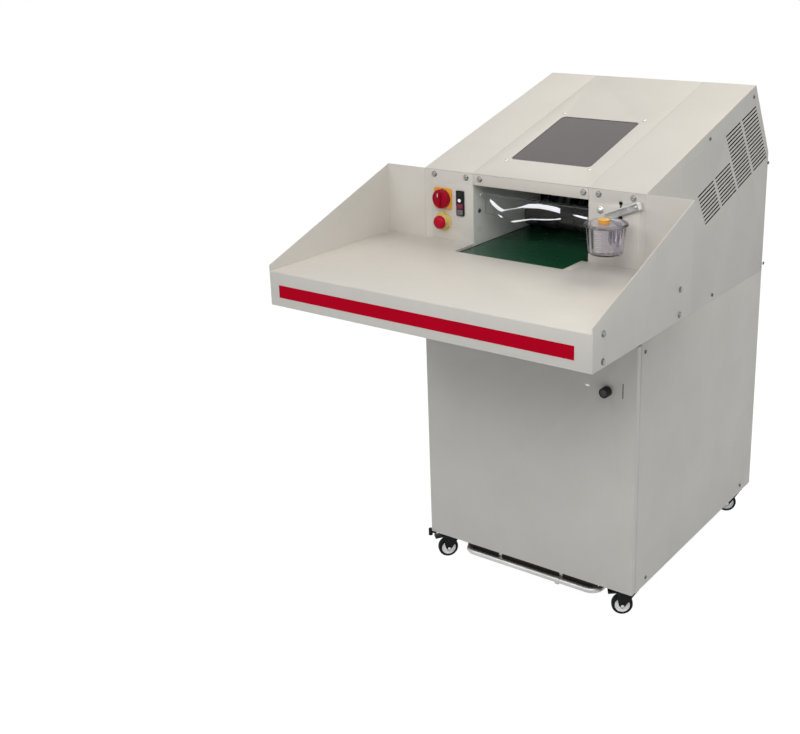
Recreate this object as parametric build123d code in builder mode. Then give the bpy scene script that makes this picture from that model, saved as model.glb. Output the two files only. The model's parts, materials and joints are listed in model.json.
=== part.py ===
from build123d import *
from math import atan2, cos, hypot, pi, radians, sin, tan
import os

# Industrial paper shredder with a conveyor feed, in millimetres.
# +X is the operator's right, +Y goes from the operator into the machine, +Z is up.
# The origin is on the floor, in the middle of the whole machine's footprint.

# Driving dimensions of the whole machine
table_height = 1077.0
tray_width = 1000.0
tray_depth = 524.0
lip_height = 96.0
wing_front_rise = 16.0
wing_rear_rise = 208.0
body_width = 724.0
body_depth = 859.0
hood_run = 725.0
hood_rise = 411.0
knee_rise = 184.0
seam_height = 870.0
ground_gap = 99.0
sheet = 2.0

# Clearances and overruns
seat_gap = 0.3
running_fit = 0.05
panel_seam = 0.6
overrun = 4.0
side_play = 1.0

# Feed tray
stripe_thickness = 0.6
stripe_height = 35.0
stripe_drop = 36.0
stripe_left = 468.0
stripe_right = 452.0
cutout_reach = 99.0
lip_return = 18.0
lip_bend = 3.0
rebate = 1.0

# Throat
throat_width = 380.0
throat_height = 174.0
throat_depth = 370.0
cheek_thickness = 3.0
cheek_flange = 25.0
cheek_drop = 47.0
header_return = 40.0

# Front plates
plate_skirt = 37.0
raised_thickness = 1.5
raised_top = 166.0
raised_control_reach = 338.0
raised_service_reach = 343.0
raised_inset = 2.0
keyhole_x = 288.0
keyhole_rise = 189.0
keyhole_radius = 5.5
keyhole_slot = 4.0
keyhole_drop = 14.0

# Inspection window, measured up the slope of the hood
window_width = 264.0
window_start = 112.0
window_length = 312.0
window_corner = 14.0
window_lap = 16.0
window_thickness = 3.0

# Side vents: four leaning columns of slots, their lowest rows in line with the hood's slope
slot_height = 5.0
slot_length = 107.0
slot_pitch = 11.4
column_gap = 14.0
vent_rows = (16, 16, 9, 9)
vent_lean = 33.0
vent_rear_margin = 17.0
vent_knee_drop = 13.0

# Cutting block
core_radius = 34.0
disc_radius = 55.0
disc_width = 12.0
disc_gap = 13.0
cutter_spread = 92.0
cutter_depth = 430.0
nip_rise = -7.0
upper_discs = 15
hooks = 7
hook_depth = 6.0
hook_land_share = 0.8
stagger = 14.0
journal_radius = 20.0
core_half = 200.0
side_plate_gap = 205.0
side_plate_thickness = 15.0
side_plate_reach = 110.0
side_plate_top = 130.0
journal_hole = 24.0
tie_radius = 11.0
tie_inset = 20.0
bearing_size = 88.0
bearing_thickness = 30.0
bearing_corner = 14.0
gear_module = 4.0
gear_teeth = 23
gear_width = 20.0
gear_backlash = 1.0
gear_root_share = 1.15
gear_root_width_share = 1.19
gear_tip_share = 0.85
gear_tip_width_share = 0.43
comb_start = 62.0
comb_thickness = 12.0
comb_height = 30.0
finger_height = 16.0

# Conveyor
belt_drop = 6.0
belt_width = 360.0
belt_thickness = 2.7
roller_radius = 30.0
roller_shaft = 10.0
drive_depth = 330.0
tail_tuck = 15.0
rail_thickness = 6.0
rail_clear = 4.0
rail_below = 34.0
rail_nose = 20.0
bed_thickness = 3.0
leg_width = 70.0
leg_depths = (60.0, 235.0)

# Feed roller and guard flap
feed_radius = 35.0
feed_depth = 300.0
feed_lift = 3.0
feed_half = 184.0
feed_groove = 4.0
feed_groove_share = 0.4
feed_lands = 6
flap_depth = 38.0
flap_rise = 140.0
flap_length = 66.0
flap_bow = 14.0
flap_thickness = 3.0
flap_half = 172.0
flap_rod = 4.0

# Drive and electrical box
gearbox_size = 150.0
gearbox_height = 168.0
gearbox_width = 88.0
gearbox_corner = 24.0
gearbox_foot = 50.0
motor_radius = 57.0
motor_length = 230.0
motor_fins = 12
motor_flange = 9.0
fin_height = 6.0
fin_thickness = 3.0
cowl_length = 46.0
drive_shaft = 18.0
cabinet_box_width = 108.0
cabinet_box_length = 220.0
cabinet_box_height = 290.0
cabinet_box_depth = 600.0
cabinet_box_wall = 4.0
cabinet_box_corner = 6.0

# Controls on the left front plate
switch_x = -296.0
switch_rise = 124.0
switch_plate = 64.0
switch_plate_corner = 8.0
badge_thickness = 3.0
knob_radius = 28.0
knob_base = 16.0
knob_bevel = 2.5
knob_grip = 10.0
knob_grip_width = 15.0
knob_draft = 4.0
stop_x = -297.0
stop_rise = 55.0
stop_badge_radius = 29.0
stop_collar_radius = 15.0
stop_collar = 8.0
stop_stem = 9.0
stop_stem_depth = 14.0
stop_head_radius = 20.0
stop_head = 14.0
stop_dome_share = 0.3
stop_travel = 5.0
keypad_x = -233.0
keypad_rise = 116.0
keypad_width = 26.0
keypad_height = 74.0
keypad_depth = 6.0
keypad_border = 2.5
keypad_rib = 2.0
button_proud = 2.0
button_travel = 2.0
button_crown = 1.0
button_names = ("standby_button", "start_button", "stop_button", "reverse_button")

# Oil cup and its arm on the right front plate
cup_x = 288.0
cup_forward = 80.0
cup_rise = 58.0
cup_height = 78.0
cup_top_radius = 54.0
cup_foot_radius = 47.0
cup_wall = 2.5
cup_rim_radius = 60.0
cup_rim = 3.0
lug_width = 24.0
lug_height = 40.0
lug_drop = 26.0
lid_radius = 58.0
lid_thickness = 3.0
lid_spigot = 8.0
lid_knob_radius = 16.0
lid_knob_height = 10.0
lid_knob_shift = 6.0
arm_pivot_x = 338.0
arm_pivot_rise = 173.0
arm_reach = 96.0
arm_tail = 15.0
arm_height = 20.0
arm_tilt = 22.7
arm_standoff = 6.5
arm_thickness = 2.5
arm_flange = 8.0
arm_tab = 14.0
arm_boss = 8.0

# Door
door_thickness = 19.5
door_gap = 1.5
door_foot_gap = 2.0
door_head_gap = 5.0
door_side_gap = 1.0
door_pin_inset = 6.0
door_pin_back = 15.5
door_pin_radius = 3.0
door_pin_reach = 6.0
hinge_plate = 3.0
hinge_width = 17.0
hinge_reach = 7.0
hinge_tail = 8.0
barrel_radius = 6.5
barrel_below = 13.0
barrel_above = 6.0
lock_x = 269.0
lock_height = 721.0
lock_radius = 15.0
lock_head = 22.0
lock_shaft = 6.0
cam_length = 72.0
cam_width = 14.0
cam_thickness = 3.0
cam_back = 3.5

# Lower cabinet, frame and trolley
cabinet_flange = 30.0
frame_tube = 40.0
frame_wall = 3.0
deck_thickness = 4.0
deck_flange = 36.0
chute_half = 195.0
chute_start = 330.0
chute_length = 270.0
runner_spread = 254.0
runner_lip = 18.0
runner_thickness = 2.0
runner_start = 112.0
hanger_width = 30.0
trolley_tube = 9.0
trolley_height = 66.0
trolley_half = 237.5
trolley_forward = 9.0
trolley_length = 720.0
trolley_bend = 35.0
trolley_bar = 6.0
trolley_bar_x = 108.0
bin_foot_width = 410.0
bin_foot_depth = 560.0
bin_top_width = 470.0
bin_top_depth = 640.0
bin_height = 650.0
bin_wall = 3.0
bin_corner = 30.0
bin_depth = 360.0
bin_rim = 10.0

# Cable gland on the rear
gland_x = 250.0
gland_height = 200.0
gland_reach = 26.0
gland_radius = 15.0
gland_face_radius = 10.5
gland_step = 5.0
gland_nut_radius = 17.0
gland_nut = 8.0
gland_neck = 10.0
gland_bore = 7.0
gland_inner = 14.0

# Casters
caster_inset = 42.0
caster_plate = 64.0
caster_plate_thickness = 4.0
wheel_radius = 32.0
wheel_width = 24.0
wheel_trail = 20.0
hub_radius = 12.0
hub_proud = 0.7
web_radius = 22.0
web_recess = 4.0
axle_radius = 4.0
axle_head = 7.0
axle_head_length = 3.0
fork_wall = 2.5
fork_crown = 3.0
fork_drop = 12.0
race_radius = 19.0
crown_back = 28.0
crown_front = 38.0
boss_radius = 10.0
pedal_pin = 3.0
pedal_u = 33.0
pedal_drop = 8.0
pedal_length = 30.0
pedal_thickness = 5.0
pedal_half = 12.4
front_left_yaw = 228.0
front_right_yaw = 213.0
rear_left_yaw = 250.0
rear_right_yaw = 214.0

# Bolts
bolt_radius = 7.5
bolt_head = 5.0
bolt_sides = 6
wing_bolt_front = 49.0
wing_bolt_rear = 456.0
wing_bolt_upper = 12.0
wing_bolt_lower = 80.0
zone_bolt_rise = 193.0
zone_bolt_places = (-327.0, -214.0, -167.0, 174.0, 221.0, 325.0)

# Places that follow from the driving dimensions
overall_depth = stripe_thickness + tray_depth + body_depth + gland_reach
lip_y = stripe_thickness - overall_depth / 2
front_y = lip_y + tray_depth
rear_y = front_y + body_depth
hood_back_y = front_y + hood_run
tray_half = tray_width / 2
body_half = body_width / 2
inner_half = body_half - sheet
throat_half = throat_width / 2
front_top = table_height + wing_rear_rise
hood_top = table_height + hood_rise
knee_height = table_height + knee_rise
throat_top = table_height + throat_height
hood_slope = atan2(hood_top - front_top, hood_run)
hood_length = hypot(hood_top - front_top, hood_run)
rear_lean = atan2(hood_top - knee_height, rear_y - hood_back_y)
plate_top = front_top - sheet / cos(hood_slope)
raised_y = front_y - raised_thickness
slope_plane = Plane(
    origin=(0, front_y, front_top),
    x_dir=(1, 0, 0),
    z_dir=(0, -sin(hood_slope), cos(hood_slope)),
)
cutter_y = front_y + cutter_depth
nip_height = table_height + nip_rise
upper_z = nip_height + cutter_spread / 2
lower_z = nip_height - cutter_spread / 2
disc_pitch = disc_width + disc_gap
belt_top = table_height - belt_drop
roller_z = belt_top - belt_thickness - seat_gap - roller_radius
belt_under = belt_top - belt_thickness
tail_y = front_y - cutout_reach - tail_tuck
drive_y = front_y + drive_depth
rail_inner = belt_width / 2 + rail_clear
rail_outer = rail_inner + rail_thickness
feed_y = front_y + feed_depth
feed_z = belt_top + feed_lift + feed_radius
flap_y = front_y + flap_depth
flap_z = table_height + flap_rise
arm_y = raised_y - arm_standoff
door_back = front_y - door_gap
door_front = door_back - door_thickness
door_foot = ground_gap + door_foot_gap
door_head = seam_height - door_head_gap
pin_x = door_pin_inset - body_half
pin_y = door_back - door_pin_back
wheel_z = wheel_radius
plate_under = ground_gap - caster_plate_thickness


def save(piece, label):
    """Name one finished piece and write its STEP file."""
    piece.part.label = label
    export_step(piece.part, f"parts/{label}.step")


def bar(x0, x1, y0, y1, z0, z1, mode=Mode.ADD):
    """Add a straight bar between two corners to the part in hand."""
    with BuildSketch(Plane.XY.offset(z0)) as footprint:
        with Locations(((x0 + x1) / 2, (y0 + y1) / 2)):
            Rectangle(x1 - x0, y1 - y0)
    extrude(footprint.sketch, amount=z1 - z0, mode=mode)


def side_plane(x):
    """Plane of constant x whose sketch axes are Y and Z."""
    return Plane.YZ.offset(x)


def front_plane(y):
    """Plane of constant y, seen from the operator, whose sketch axes are X and Z."""
    return Plane(origin=(0, y, 0), x_dir=(1, 0, 0), z_dir=(0, -1, 0))


# Feed tray
def make_feed_table():
    """Folded pan with a front lip, a belt cut-out and a rear apron down to the seam.

    A rebate along the rear edge takes the sheets that stand upright there.
    """
    pan_half = tray_half - sheet
    floor_z = table_height - lip_height
    pan_middle = (lip_y + front_y) / 2
    with BuildPart() as feed_table:
        with BuildSketch(Plane.XY.offset(floor_z)):
            with Locations((0, pan_middle)):
                Rectangle(2 * pan_half, tray_depth)
                Rectangle(2 * (pan_half - sheet), tray_depth - 2 * sheet, mode=Mode.SUBTRACT)
        extrude(amount=lip_height)
        bar(-pan_half, pan_half, lip_y, front_y, table_height - sheet, table_height)
        bar(-pan_half, pan_half, lip_y, lip_y + lip_return, floor_z, floor_z + sheet)
        bar(-inner_half, inner_half, front_y - sheet, front_y, seam_height, floor_z)
        bar(-throat_half, throat_half, front_y - cutout_reach, front_y + overrun,
            table_height - sheet - overrun, table_height + overrun, mode=Mode.SUBTRACT)
        bar(-rail_outer - side_play, rail_outer + side_play, front_y - sheet - overrun,
            front_y + overrun, roller_z - rail_below - side_play, table_height,
            mode=Mode.SUBTRACT)
        bar(-pan_half, pan_half, front_y - sheet, front_y + overrun, table_height - rebate,
            table_height + overrun, mode=Mode.SUBTRACT)
        front_edge = (
            feed_table.edges()
            .filter_by(Axis.X)
            .filter_by(lambda edge: edge.center().Z > table_height - sheet / 2)
            .sort_by(Axis.Y)[0]
        )
        fillet(front_edge, radius=lip_bend)
    save(feed_table, "feed_table")


def make_wing(side, label):
    """Side wing with its sloping top edge, folded inwards into a back wall."""
    outer = side * tray_half
    with BuildPart() as wing:
        with BuildSketch(side_plane(outer)):
            with BuildLine():
                Polyline(
                    (lip_y, table_height - lip_height),
                    (front_y, table_height - lip_height),
                    (front_y, front_top),
                    (lip_y, table_height + wing_front_rise),
                    close=True,
                )
            make_face()
        extrude(amount=-side * sheet)
        wall_in = side * body_half
        wall_out = side * (tray_half - sheet)
        bar(min(wall_in, wall_out), max(wall_in, wall_out), front_y - sheet, front_y,
            table_height - rebate, front_top)
    save(wing, label)


def make_lip_stripe():
    """Coloured stripe along the tray's lip."""
    with BuildPart() as lip_stripe:
        top = table_height - stripe_drop
        bar(-stripe_left, stripe_right, lip_y - stripe_thickness, lip_y, top - stripe_height, top)
    save(lip_stripe, "lip_stripe")


# Hood
def vent_columns():
    """Rear end, height and number of slots of each column's lowest row, from the rear."""
    step = slot_length * cos(hood_slope) + column_gap
    columns = []
    for index, count in enumerate(vent_rows):
        y = rear_y - vent_rear_margin - index * step
        z = knee_height - vent_knee_drop - index * step * tan(hood_slope)
        columns.append((y, z, count))
    return columns


def make_hood_shell(side, label):
    """One side of the hood: the outer plate with its vents, folded over onto the slope."""
    outer = side * body_half
    with BuildPart() as hood_shell:
        with BuildSketch(side_plane(outer)):
            with BuildLine():
                Polyline(
                    (front_y, seam_height),
                    (rear_y, seam_height),
                    (rear_y, knee_height),
                    (hood_back_y, hood_top),
                    (front_y, front_top),
                    close=True,
                )
            make_face()
        extrude(amount=-side * sheet)
        inner_edge = throat_half + panel_seam / 2
        with BuildSketch(slope_plane):
            with Locations((side * (inner_edge + body_half) / 2, hood_length / 2)):
                Rectangle(body_half - inner_edge, hood_length)
        extrude(amount=-sheet)
        slot_rise = slot_height / cos(hood_slope)
        run = slot_length * cos(hood_slope)
        with BuildSketch(side_plane(outer + side * overrun)):
            for rear, low, count in vent_columns():
                for row in range(count):
                    base = low + row * slot_pitch
                    y_end = rear - row * slot_pitch * tan(radians(vent_lean))
                    with BuildLine():
                        Polyline(
                            (y_end, base),
                            (y_end, base + slot_rise),
                            (y_end - run, base + slot_rise - run * tan(hood_slope)),
                            (y_end - run, base - run * tan(hood_slope)),
                            close=True,
                        )
                    make_face()
        extrude(amount=-side * (sheet + 2 * overrun), mode=Mode.SUBTRACT)
    save(hood_shell, label)


def make_hood_centre_cover():
    """Middle cover of the hood with the rounded window cut-out."""
    with BuildPart() as hood_centre_cover:
        with BuildSketch(slope_plane):
            with Locations((0, hood_length / 2)):
                Rectangle(throat_width - panel_seam, hood_length)
            with Locations((0, window_start + window_length / 2)):
                RectangleRounded(window_width, window_length, window_corner, mode=Mode.SUBTRACT)
        extrude(amount=-sheet)
    save(hood_centre_cover, "hood_centre_cover")


def make_inspection_window():
    """Smoked acrylic sheet held against the underside of the middle cover."""
    with BuildPart() as inspection_window:
        with BuildSketch(slope_plane.offset(-sheet)):
            with Locations((0, window_start + window_length / 2)):
                RectangleRounded(window_width + 2 * window_lap, window_length + 2 * window_lap,
                                 window_corner)
        extrude(amount=-window_thickness)
    save(inspection_window, "inspection_window")


def make_rear_upper_panel():
    """Rear sheet of the hood, folded at the knee and cut off under the slope."""
    lean_y = rear_y - hood_back_y
    lean_z = hood_top - knee_height
    lean = hypot(lean_y, lean_z)
    inward = (-lean_z / lean * sheet, -lean_y / lean * sheet)
    share = sheet / cos(hood_slope) / (lean_z + lean_y * tan(hood_slope))
    top = (hood_back_y + share * lean_y, hood_top - share * lean_z)
    knee_mitre = sheet * tan((pi / 2 - rear_lean) / 2)
    with BuildPart() as rear_upper_panel:
        with BuildSketch(side_plane(-inner_half)):
            with BuildLine():
                Polyline(
                    top,
                    (rear_y, knee_height),
                    (rear_y, seam_height),
                    (rear_y - sheet, seam_height),
                    (rear_y - sheet, knee_height - knee_mitre),
                    (top[0] + inward[0], top[1] + inward[1]),
                    close=True,
                )
            make_face()
        extrude(amount=2 * inner_half)
    save(rear_upper_panel, "rear_upper_panel")


# Front plates
def make_header_plate():
    """Strip over the throat with a return folded into the machine."""
    half = throat_half - panel_seam / 2
    with BuildPart() as header_plate:
        bar(-half, half, front_y, front_y + sheet, throat_top, plate_top)
        bar(-half, half, front_y, front_y + header_return, throat_top, throat_top + sheet)
    save(header_plate, "header_plate")


def front_zone(side, reach):
    """Front plate beside the throat with its raised panel."""
    near = throat_half + panel_seam / 2
    xs = sorted((side * near, side * inner_half))
    bar(xs[0], xs[1], front_y, front_y + sheet, table_height - plate_skirt, plate_top)
    raised = sorted((side * (near + raised_inset), side * reach))
    bar(raised[0], raised[1], raised_y, front_y, table_height - rebate, table_height + raised_top)


def make_control_plate():
    """Left front plate, bored for the stop button's stem."""
    with BuildPart() as control_plate:
        front_zone(-1, raised_control_reach)
        with BuildSketch(front_plane(raised_y - overrun)):
            with Locations((stop_x, table_height + stop_rise)):
                Circle(stop_stem + side_play)
        extrude(amount=-(raised_thickness + sheet + 2 * overrun), mode=Mode.SUBTRACT)
    save(control_plate, "control_plate")


def make_service_plate():
    """Right front plate with the keyhole above the oil cup."""
    keyhole_z = table_height + keyhole_rise - keyhole_drop
    keyhole_foot = keyhole_z - keyhole_drop / 2
    with BuildPart() as service_plate:
        front_zone(1, raised_service_reach)
        with BuildSketch(front_plane(raised_y - overrun)):
            with Locations((keyhole_x, keyhole_z)):
                Circle(keyhole_radius)
            with Locations((keyhole_x, keyhole_foot)):
                Rectangle(keyhole_slot, keyhole_drop)
        extrude(amount=-(raised_thickness + sheet + 2 * overrun), mode=Mode.SUBTRACT)
    save(service_plate, "service_plate")


def make_panel_bolts():
    """Hexagon heads on the wings and along the top of the front plates."""
    with BuildPart() as panel_bolts:
        for side in (-1, 1):
            with BuildSketch(side_plane(side * tray_half)):
                for y in (wing_bolt_front, wing_bolt_rear):
                    for drop in (wing_bolt_upper, wing_bolt_lower):
                        with Locations((lip_y + y, table_height - drop)):
                            RegularPolygon(bolt_radius, bolt_sides)
            extrude(amount=side * bolt_head)
        with BuildSketch(front_plane(front_y)):
            for x in zone_bolt_places:
                with Locations((x, table_height + zone_bolt_rise)):
                    RegularPolygon(bolt_radius, bolt_sides)
        extrude(amount=bolt_head)
    save(panel_bolts, "panel_bolts")


# Throat
def make_throat_cheeks():
    """Two side walls of the throat, bored for the feed roller and the flap's rod."""
    with BuildPart() as throat_cheeks:
        for side in (-1, 1):
            near = side * throat_half
            with BuildSketch(side_plane(near)):
                with BuildLine():
                    Polyline(
                        (front_y + sheet, table_height - cheek_drop),
                        (front_y + throat_depth, table_height - cheek_drop),
                        (front_y + throat_depth, throat_top),
                        (front_y + sheet, throat_top),
                        close=True,
                    )
                make_face()
                with Locations((feed_y, feed_z)):
                    Circle(roller_shaft + running_fit, mode=Mode.SUBTRACT)
                with Locations((flap_y, flap_z)):
                    Circle(flap_rod + running_fit, mode=Mode.SUBTRACT)
            extrude(amount=side * cheek_thickness)
            xs = sorted((near, side * (throat_half + cheek_flange)))
            bar(xs[0], xs[1], front_y + sheet, front_y + sheet + cheek_thickness,
                table_height - cheek_drop, throat_top)
    save(throat_cheeks, "throat_cheeks")


def make_guard_flap():
    """Clear curtain that hangs from a rod across the throat and bows into the machine."""
    with BuildPart() as guard_flap:
        with BuildSketch(side_plane(-flap_half)):
            with BuildLine():
                outer = ThreePointArc(
                    (flap_y, flap_z),
                    (flap_y - flap_bow / 2, flap_z - flap_length / 2),
                    (flap_y + flap_bow / 2, flap_z - flap_length),
                )
                Line(outer @ 1, (flap_y + flap_bow / 2 + flap_thickness, flap_z - flap_length))
                ThreePointArc(
                    (flap_y + flap_bow / 2 + flap_thickness, flap_z - flap_length),
                    (flap_y - flap_bow / 2 + flap_thickness, flap_z - flap_length / 2),
                    (flap_y + flap_thickness, flap_z),
                )
                Line((flap_y + flap_thickness, flap_z), outer @ 0)
            make_face()
        extrude(amount=2 * flap_half)
        rod_half = throat_half + cheek_thickness
        with BuildSketch(side_plane(-rod_half)):
            with Locations((flap_y, flap_z)):
                Circle(flap_rod)
        extrude(amount=2 * rod_half)
    save(guard_flap, "guard_flap")


# Conveyor
def make_conveyor_bed():
    """Slider plate between two side rails, on legs that stand on the deck."""
    low = roller_z - rail_below
    top = belt_under - seat_gap
    with BuildPart() as conveyor_bed:
        for side in (-1, 1):
            with BuildSketch(side_plane(side * rail_inner)):
                with BuildLine():
                    Polyline(
                        (tail_y - rail_nose, low),
                        (drive_y + rail_nose, low),
                        (drive_y + rail_nose, top),
                        (tail_y - rail_nose, top),
                        close=True,
                    )
                make_face()
                for depth in leg_depths:
                    with Locations((front_y + depth + leg_width / 2, (seam_height + low) / 2)):
                        Rectangle(leg_width, low - seam_height)
                for y in (tail_y, drive_y):
                    with Locations((y, roller_z)):
                        Circle(roller_shaft + running_fit, mode=Mode.SUBTRACT)
            extrude(amount=side * rail_thickness)
        gap = roller_radius + rail_nose
        bar(-rail_inner, rail_inner, tail_y + gap, drive_y - gap, top - bed_thickness, top)
    save(conveyor_bed, "conveyor_bed")


def make_conveyor_belt():
    """Endless belt around both rollers."""
    spread = drive_y - tail_y
    inner = roller_radius + seat_gap
    with BuildPart() as conveyor_belt:
        with BuildSketch(side_plane(-belt_width / 2)):
            with Locations(((drive_y + tail_y) / 2, roller_z)):
                SlotCenterToCenter(spread, 2 * (inner + belt_thickness))
                SlotCenterToCenter(spread, 2 * inner, mode=Mode.SUBTRACT)
        extrude(amount=belt_width)
    save(conveyor_belt, "conveyor_belt")


def make_roller(y, label):
    """Belt roller with its shaft ends in the rails."""
    with BuildPart() as roller:
        with BuildSketch(Plane(origin=(0, y, roller_z), x_dir=(1, 0, 0), z_dir=(0, -1, 0))):
            with BuildLine():
                Polyline(
                    (-rail_outer, 0),
                    (-rail_outer, roller_shaft),
                    (-rail_inner + side_play, roller_shaft),
                    (-rail_inner + side_play, roller_radius),
                    (rail_inner - side_play, roller_radius),
                    (rail_inner - side_play, roller_shaft),
                    (rail_outer, roller_shaft),
                    (rail_outer, 0),
                    close=True,
                )
            make_face()
        revolve(axis=Axis((0, y, roller_z), (1, 0, 0)))
    save(roller, label)


def make_feed_roller():
    """Grooved press roller above the belt, carried in the cheeks."""
    end = throat_half + cheek_thickness
    land = 2 * feed_half / (feed_lands + (feed_lands - 1) * feed_groove_share)
    gap = land * feed_groove_share
    points = [(-end, 0), (-end, roller_shaft), (-feed_half, roller_shaft)]
    x = -feed_half
    for index in range(feed_lands):
        points.append((x, feed_radius))
        points.append((x + land, feed_radius))
        x += land
        if index < feed_lands - 1:
            points.append((x, feed_radius - feed_groove))
            points.append((x + gap, feed_radius - feed_groove))
            x += gap
    points += [(feed_half, roller_shaft), (end, roller_shaft), (end, 0)]
    with BuildPart() as feed_roller:
        with BuildSketch(Plane(origin=(0, feed_y, feed_z), x_dir=(1, 0, 0), z_dir=(0, -1, 0))):
            with BuildLine():
                Polyline(*points, close=True)
            make_face()
        revolve(axis=Axis((0, feed_y, feed_z), (1, 0, 0)))
    save(feed_roller, "feed_roller")


# Cutting block
def disc_places(count):
    """Middles of evenly pitched discs along a cutter."""
    return [(index - (count - 1) / 2) * disc_pitch for index in range(count)]


def hooked_disc(start_angle):
    """Outline of one cutting disc, with hooks that rise gently and drop steeply."""
    points = []
    for hook in range(hooks):
        base = radians(start_angle + hook * 360 / hooks)
        land = radians(360 / hooks * hook_land_share)
        points.append(((disc_radius - hook_depth) * cos(base), (disc_radius - hook_depth) * sin(base)))
        points.append((disc_radius * cos(base + land), disc_radius * sin(base + land)))
    return points


def gear_outline(start_angle):
    """Outline of the synchronising gear, three straight stretches to a flank."""
    pitch_radius = gear_module * gear_teeth / 2
    thickness = pi * gear_module / 2 - gear_backlash
    rings = (
        (pitch_radius - gear_module * gear_root_share, thickness * gear_root_width_share),
        (pitch_radius, thickness),
        (pitch_radius + gear_module * gear_tip_share, thickness * gear_tip_width_share),
    )
    points = []
    for tooth in range(gear_teeth):
        middle = radians(start_angle + tooth * 360 / gear_teeth)
        for radius, width in rings:
            angle = middle - width / radius / 2
            points.append((radius * cos(angle), radius * sin(angle)))
        for radius, width in reversed(rings):
            angle = middle + width / radius / 2
            points.append((radius * cos(angle), radius * sin(angle)))
    return points


def make_cutter(z, count, right_end, gear_start, label):
    """One cutting cylinder: core, journals, hooked discs and its synchronising gear."""
    bearing_out = side_plate_gap + side_plate_thickness + bearing_thickness
    gear_out = bearing_out + overrun + gear_width
    with BuildPart() as cutter:
        with BuildSketch(Plane(origin=(0, cutter_y, z), x_dir=(1, 0, 0), z_dir=(0, -1, 0))):
            with BuildLine():
                Polyline(
                    (-gear_out, 0),
                    (-gear_out, journal_radius),
                    (-core_half, journal_radius),
                    (-core_half, core_radius),
                    (core_half, core_radius),
                    (core_half, journal_radius),
                    (bearing_out, journal_radius),
                    (bearing_out, drive_shaft),
                    (right_end, drive_shaft),
                    (right_end, 0),
                    close=True,
                )
            make_face()
        revolve(axis=Axis((0, cutter_y, z), (1, 0, 0)))
        for index, x in enumerate(disc_places(count)):
            plane = Plane(origin=(x - disc_width / 2, cutter_y, z), x_dir=(0, 1, 0), z_dir=(1, 0, 0))
            with BuildSketch(plane):
                with BuildLine():
                    Polyline(*hooked_disc(index * stagger), close=True)
                make_face()
            extrude(amount=disc_width)
        gear_plane = Plane(origin=(-gear_out, cutter_y, z), x_dir=(0, 1, 0), z_dir=(1, 0, 0))
        with BuildSketch(gear_plane):
            with BuildLine():
                Polyline(*gear_outline(gear_start), close=True)
            make_face()
        extrude(amount=gear_width)
    save(cutter, label)


def make_block_side_plates():
    """Two plates that carry the cutters, standing on the deck and tied by round bars."""
    inner = side_plate_gap
    with BuildPart() as block_side_plates:
        for side in (-1, 1):
            with BuildSketch(side_plane(side * inner)):
                top = table_height + side_plate_top
                with Locations((cutter_y, (seam_height + top) / 2)):
                    Rectangle(2 * side_plate_reach, top - seam_height)
                for z in (upper_z, lower_z):
                    with Locations((cutter_y, z)):
                        Circle(journal_hole, mode=Mode.SUBTRACT)
            extrude(amount=side * side_plate_thickness)
        ties = (
            (cutter_y + side_plate_reach - tie_inset, table_height + side_plate_top - tie_inset),
            (cutter_y + side_plate_reach - tie_inset, seam_height + tie_inset + tie_radius),
            (cutter_y - side_plate_reach + tie_inset, seam_height + tie_inset + tie_radius),
        )
        with BuildSketch(side_plane(-inner)):
            for place in ties:
                with Locations(place):
                    Circle(tie_radius)
        extrude(amount=2 * inner)
    save(block_side_plates, "block_side_plates")


def make_bearing_housings():
    """Four flanged housings bolted outside the block's side plates."""
    outer = side_plate_gap + side_plate_thickness
    with BuildPart() as bearing_housings:
        for side in (-1, 1):
            with BuildSketch(side_plane(side * outer)):
                for z in (upper_z, lower_z):
                    with Locations((cutter_y, z)):
                        RectangleRounded(bearing_size, bearing_size, bearing_corner)
                        Circle(journal_radius + running_fit, mode=Mode.SUBTRACT)
            extrude(amount=side * bearing_thickness)
    save(bearing_housings, "bearing_housings")


def make_stripper_combs():
    """Two combs whose fingers reach between the discs and clear the shreds."""
    finger_width = disc_gap - 2 * side_play
    with BuildPart() as stripper_combs:
        for z, count in ((upper_z, upper_discs + 1), (lower_z, upper_discs)):
            bar(-side_plate_gap, side_plate_gap, cutter_y + comb_start,
                cutter_y + comb_start + comb_thickness, z - comb_height / 2, z + comb_height / 2)
            for x in disc_places(count):
                bar(x - finger_width / 2, x + finger_width / 2, cutter_y + core_radius - side_play,
                    cutter_y + comb_start, z - finger_height / 2, z + finger_height / 2)
            with BuildSketch(side_plane(-side_plate_gap)):
                with Locations((cutter_y, z)):
                    Circle(core_radius + side_play)
            extrude(amount=2 * side_plate_gap, mode=Mode.SUBTRACT)
    save(stripper_combs, "stripper_combs")


# Drive
def make_gearbox():
    """Hollow-shaft gearbox on the lower cutter, standing on a pedestal on the deck."""
    near = side_plate_gap + side_plate_thickness + bearing_thickness + side_play
    with BuildPart() as gearbox:
        with BuildSketch(side_plane(near)):
            with Locations((cutter_y, lower_z)):
                RectangleRounded(gearbox_size, gearbox_height, gearbox_corner)
        extrude(amount=gearbox_width)
        foot_top = lower_z - gearbox_height / 2
        bar(near, near + gearbox_width, cutter_y - gearbox_foot, cutter_y + gearbox_foot,
            seam_height, foot_top + gearbox_corner)
        with BuildSketch(side_plane(near - overrun)):
            with Locations((cutter_y, lower_z)):
                Circle(drive_shaft + running_fit)
        extrude(amount=gearbox_width + 2 * overrun, mode=Mode.SUBTRACT)
    save(gearbox, "gearbox")


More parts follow.
